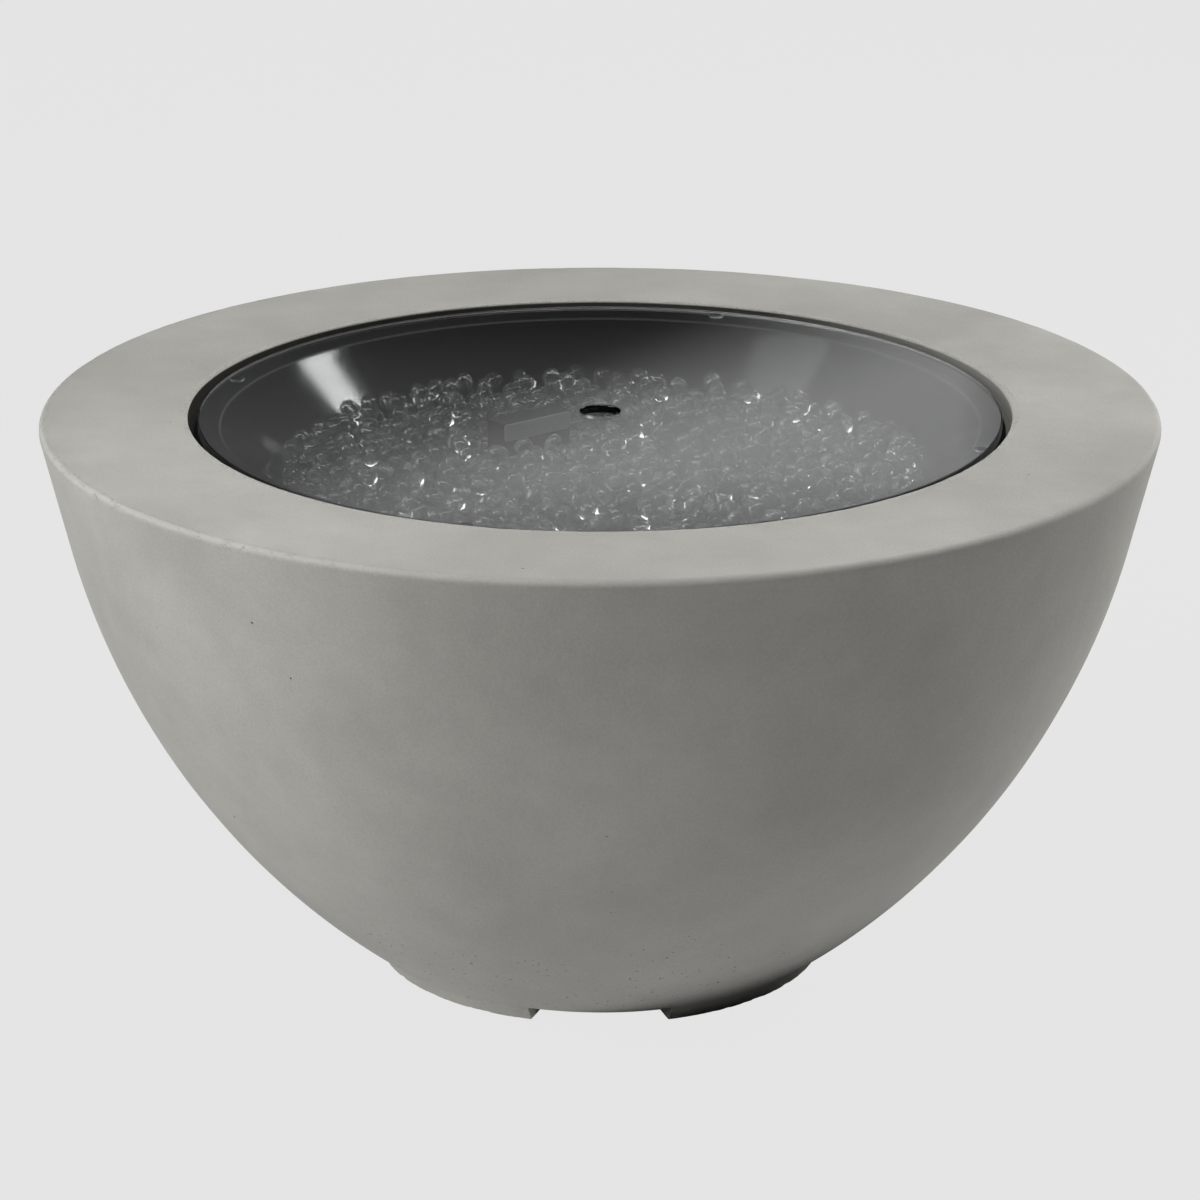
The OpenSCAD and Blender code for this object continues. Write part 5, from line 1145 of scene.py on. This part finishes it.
class FIREPIT_OT_stage(bpy.types.Operator):
    """Set the pale floor, the soft lights and the camera"""

    bl_idname = "firepit.stage"
    bl_label = "Stage"

    def lamp(self, name, direction, far, size, power, aim=Vector((0, 0, 0.3)), roll=0, mirrored=True):
        """A soft rectangular light that faces the bowl from a direction; steel and glass may mirror it."""
        data = bpy.data.lights.new(name, "AREA")
        data.shape = "RECTANGLE"
        data.size, data.size_y = size
        data.energy = power
        made = bpy.data.objects.new(name, data)
        bpy.context.scene.collection.objects.link(made)
        made.location = aim + Vector(direction).normalized() * far
        facing = (made.location - aim).to_track_quat("Z", "Y").to_matrix()
        made.rotation_euler = (facing @ Matrix.Rotation(math.radians(roll), 3, "Z")).to_euler()
        made.visible_camera = False
        made.visible_glossy = mirrored
        made.visible_transmission = mirrored

    def floor(self, glow):
        """A wide pale floor, painted paper, that glows evenly so that it stays one tone round the bowl."""
        material, tree, place = new_material("pale_floor")
        cloud = add(tree, NOISE, {"Vector": place, "Scale": 0.4})
        colour = add(tree, MIX, {0: cloud, 6: linear("#1a1a1a"), 7: linear("#1b1b1b")}, 2, data_type="RGBA")
        close_material(tree, {"Base Color": colour, "Roughness": 0.9, "Specular IOR Level": 0.0,
                              "Emission Color": linear("#ffffff"), "Emission Strength": glow})
        bm = bmesh.new()
        below = Matrix.Translation((0, 0, -0.6 * MM))
        bmesh.ops.create_grid(bm, x_segments=8, y_segments=8, size=14, matrix=below)
        piece_from_bmesh("floor", bm, material)

    def flag(self):
        """A black felt disc on the floor, hidden from the camera, that shades the foot's right side."""
        felt = moulded_plastic("black_felt", linear("#050505"), 0.9)
        bm = bmesh.new()
        turned = [bm.verts.new((x, y, -0.3 * MM)) for x, y in circle(0.16, 48, (0.07, -0.02))]
        bm.faces.new(turned)
        flag = piece_from_bmesh("floor_flag", bm, felt)
        flag.visible_camera = False
        flag.visible_shadow = False

    def card(self, glow):
        """A lit paper card far behind, brighter to the right and upwards, that the glass cover reflects."""
        material, tree, place = new_material("lit_card")
        across, _, height = add(tree, "ShaderNodeSeparateXYZ", {0: place}, None).outputs
        slant = add(tree, MATH, {0: across, 1: 0.324, 2: height}, operation="MULTIPLY_ADD")
        light = add(tree, RANGE, {0: slant, 1: 1.13, 2: 1.36}, interpolation_type="SMOOTHSTEP")
        dim = add(tree, RANGE, {0: height, 1: 1.12, 2: 1.3, 3: 0.03, 4: 0.25})
        light = add(tree, MATH, {0: light, 1: dim, 2: 0.1}, operation="SMOOTH_MAX")
        fall = add(tree, RANGE, {0: height, 1: 1.31, 2: 1.42, 3: 1.0, 4: 0.6},
                   interpolation_type="SMOOTHSTEP")
        edge = add(tree, RANGE, {0: across, 1: 0.46, 2: 0.62, 3: 1.0, 4: 0.0})
        light = add(tree, MATH, {0: light, 1: edge}, operation="MULTIPLY")
        light = add(tree, MATH, {0: light, 1: fall}, operation="MULTIPLY")
        light = add(tree, MATH, {0: light, 1: glow}, operation="MULTIPLY")
        close_material(tree, {"Base Color": linear("#000000"), "Roughness": 1.0, "Specular IOR Level": 0.0,
                              "Emission Color": linear("#ffffff"), "Emission Strength": light})
        bm = bmesh.new()
        corners = ((-0.62, 0.95), (0.62, 0.95), (0.62, 1.95), (-0.62, 1.95))
        bm.faces.new([bm.verts.new((x, 3, z)) for x, z in corners])
        card = piece_from_bmesh("haze_card", bm, material)
        card.visible_camera = False

    def execute(self, context):
        stage = context.scene.fire_pit_stage
        self.floor(stage.floor_glow)
        self.flag()
        self.card(stage.card_glow)
        rim = Vector((0, 0, RIM_Z))
        front = Vector((0, -0.2, RIM_Z))
        self.lamp("key_left", (-0.89, -0.42, 0.36), 2.6, (1.8, 1.8), stage.key_power)
        self.lamp("rim_left", (-0.75, -0.25, 0.6), 2.2, (1.4, 1.4), stage.rim_left_power, rim)
        self.lamp("rim_top", (0.3, 0.2, 0.93), 2.2, (1.2, 1.2), stage.rim_top_power, rim, 0, False)
        self.lamp("rim_front", (0, -0.25, 0.968), 1.1, (1.4, 0.35), stage.rim_front_power, front)
        self.lamp("fill_back", (0.8, 0.55, 0.3), 2.6, (1.2, 1.6), stage.fill_power, mirrored=False)
        self.lamp("gleam_left", (0.595, 0.535, 0.605), 2.0, (0.3, 0.75), stage.gleam_left_power, rim, -41)
        self.lamp("gleam_right", (-0.547, 0.21, 0.81), 2.0, (0.5, 0.7), stage.gleam_right_power, rim, 41)
        world = bpy.data.worlds.new("dim_room")
        world.use_nodes = True
        world.node_tree.nodes["Background"].inputs[0].default_value = linear("#1a1a1a")
        context.scene.world = world
        data = bpy.data.cameras.new("photo_camera")
        data.sensor_width = 36
        data.lens = stage.lens
        camera = bpy.data.objects.new("photo_camera", data)
        context.scene.collection.objects.link(camera)
        camera.location = CAMERA_AT
        camera.rotation_euler = (CAMERA_TILT, 0, 0)
        context.scene.camera = camera
        context.scene.view_settings.view_transform = "Standard"
        return {"FINISHED"}


class FIREPIT_PT_panel(bpy.types.Panel):
    """Lists the fire pit's pieces and settings"""

    bl_idname = "FIREPIT_PT_panel"
    bl_label = "Fire Pit"
    bl_space_type = "VIEW_3D"
    bl_region_type = "UI"
    bl_category = "Fire Pit"

    def draw(self, context):
        for operator in OPERATORS:
            self.layout.operator(operator.bl_idname)
        for group in (context.scene.fire_pit, context.scene.fire_pit_stage):
            for name in group.bl_rna.properties.keys():
                if name not in ("rna_type", "name"):
                    self.layout.prop(group, name)


OPERATORS = (FIREPIT_OT_bowl, FIREPIT_OT_pan, FIREPIT_OT_cover, FIREPIT_OT_fire_glass, FIREPIT_OT_pilot,
             FIREPIT_OT_controls, FIREPIT_OT_gas_train, FIREPIT_OT_stage)
CLASSES = (FirePitSettings, StageSettings) + OPERATORS + (FIREPIT_PT_panel,)


def register():
    """Register the classes and hang the settings on the scene."""
    for each in CLASSES:
        bpy.utils.register_class(each)
    bpy.types.Scene.fire_pit = PointerProperty(type=FirePitSettings)
    bpy.types.Scene.fire_pit_stage = PointerProperty(type=StageSettings)


def unregister():
    """Take the settings and the classes away again."""
    del bpy.types.Scene.fire_pit_stage
    del bpy.types.Scene.fire_pit
    for each in reversed(CLASSES):
        bpy.utils.unregister_class(each)


def main():
    """Build every piece and the stage."""
    register()
    bpy.ops.firepit.bowl()
    bpy.ops.firepit.pan()
    bpy.ops.firepit.cover()
    bpy.ops.firepit.fire_glass()
    bpy.ops.firepit.pilot()
    bpy.ops.firepit.controls()
    bpy.ops.firepit.gas_train()
    bpy.ops.firepit.stage()


if __name__ == "__main__":
    main()
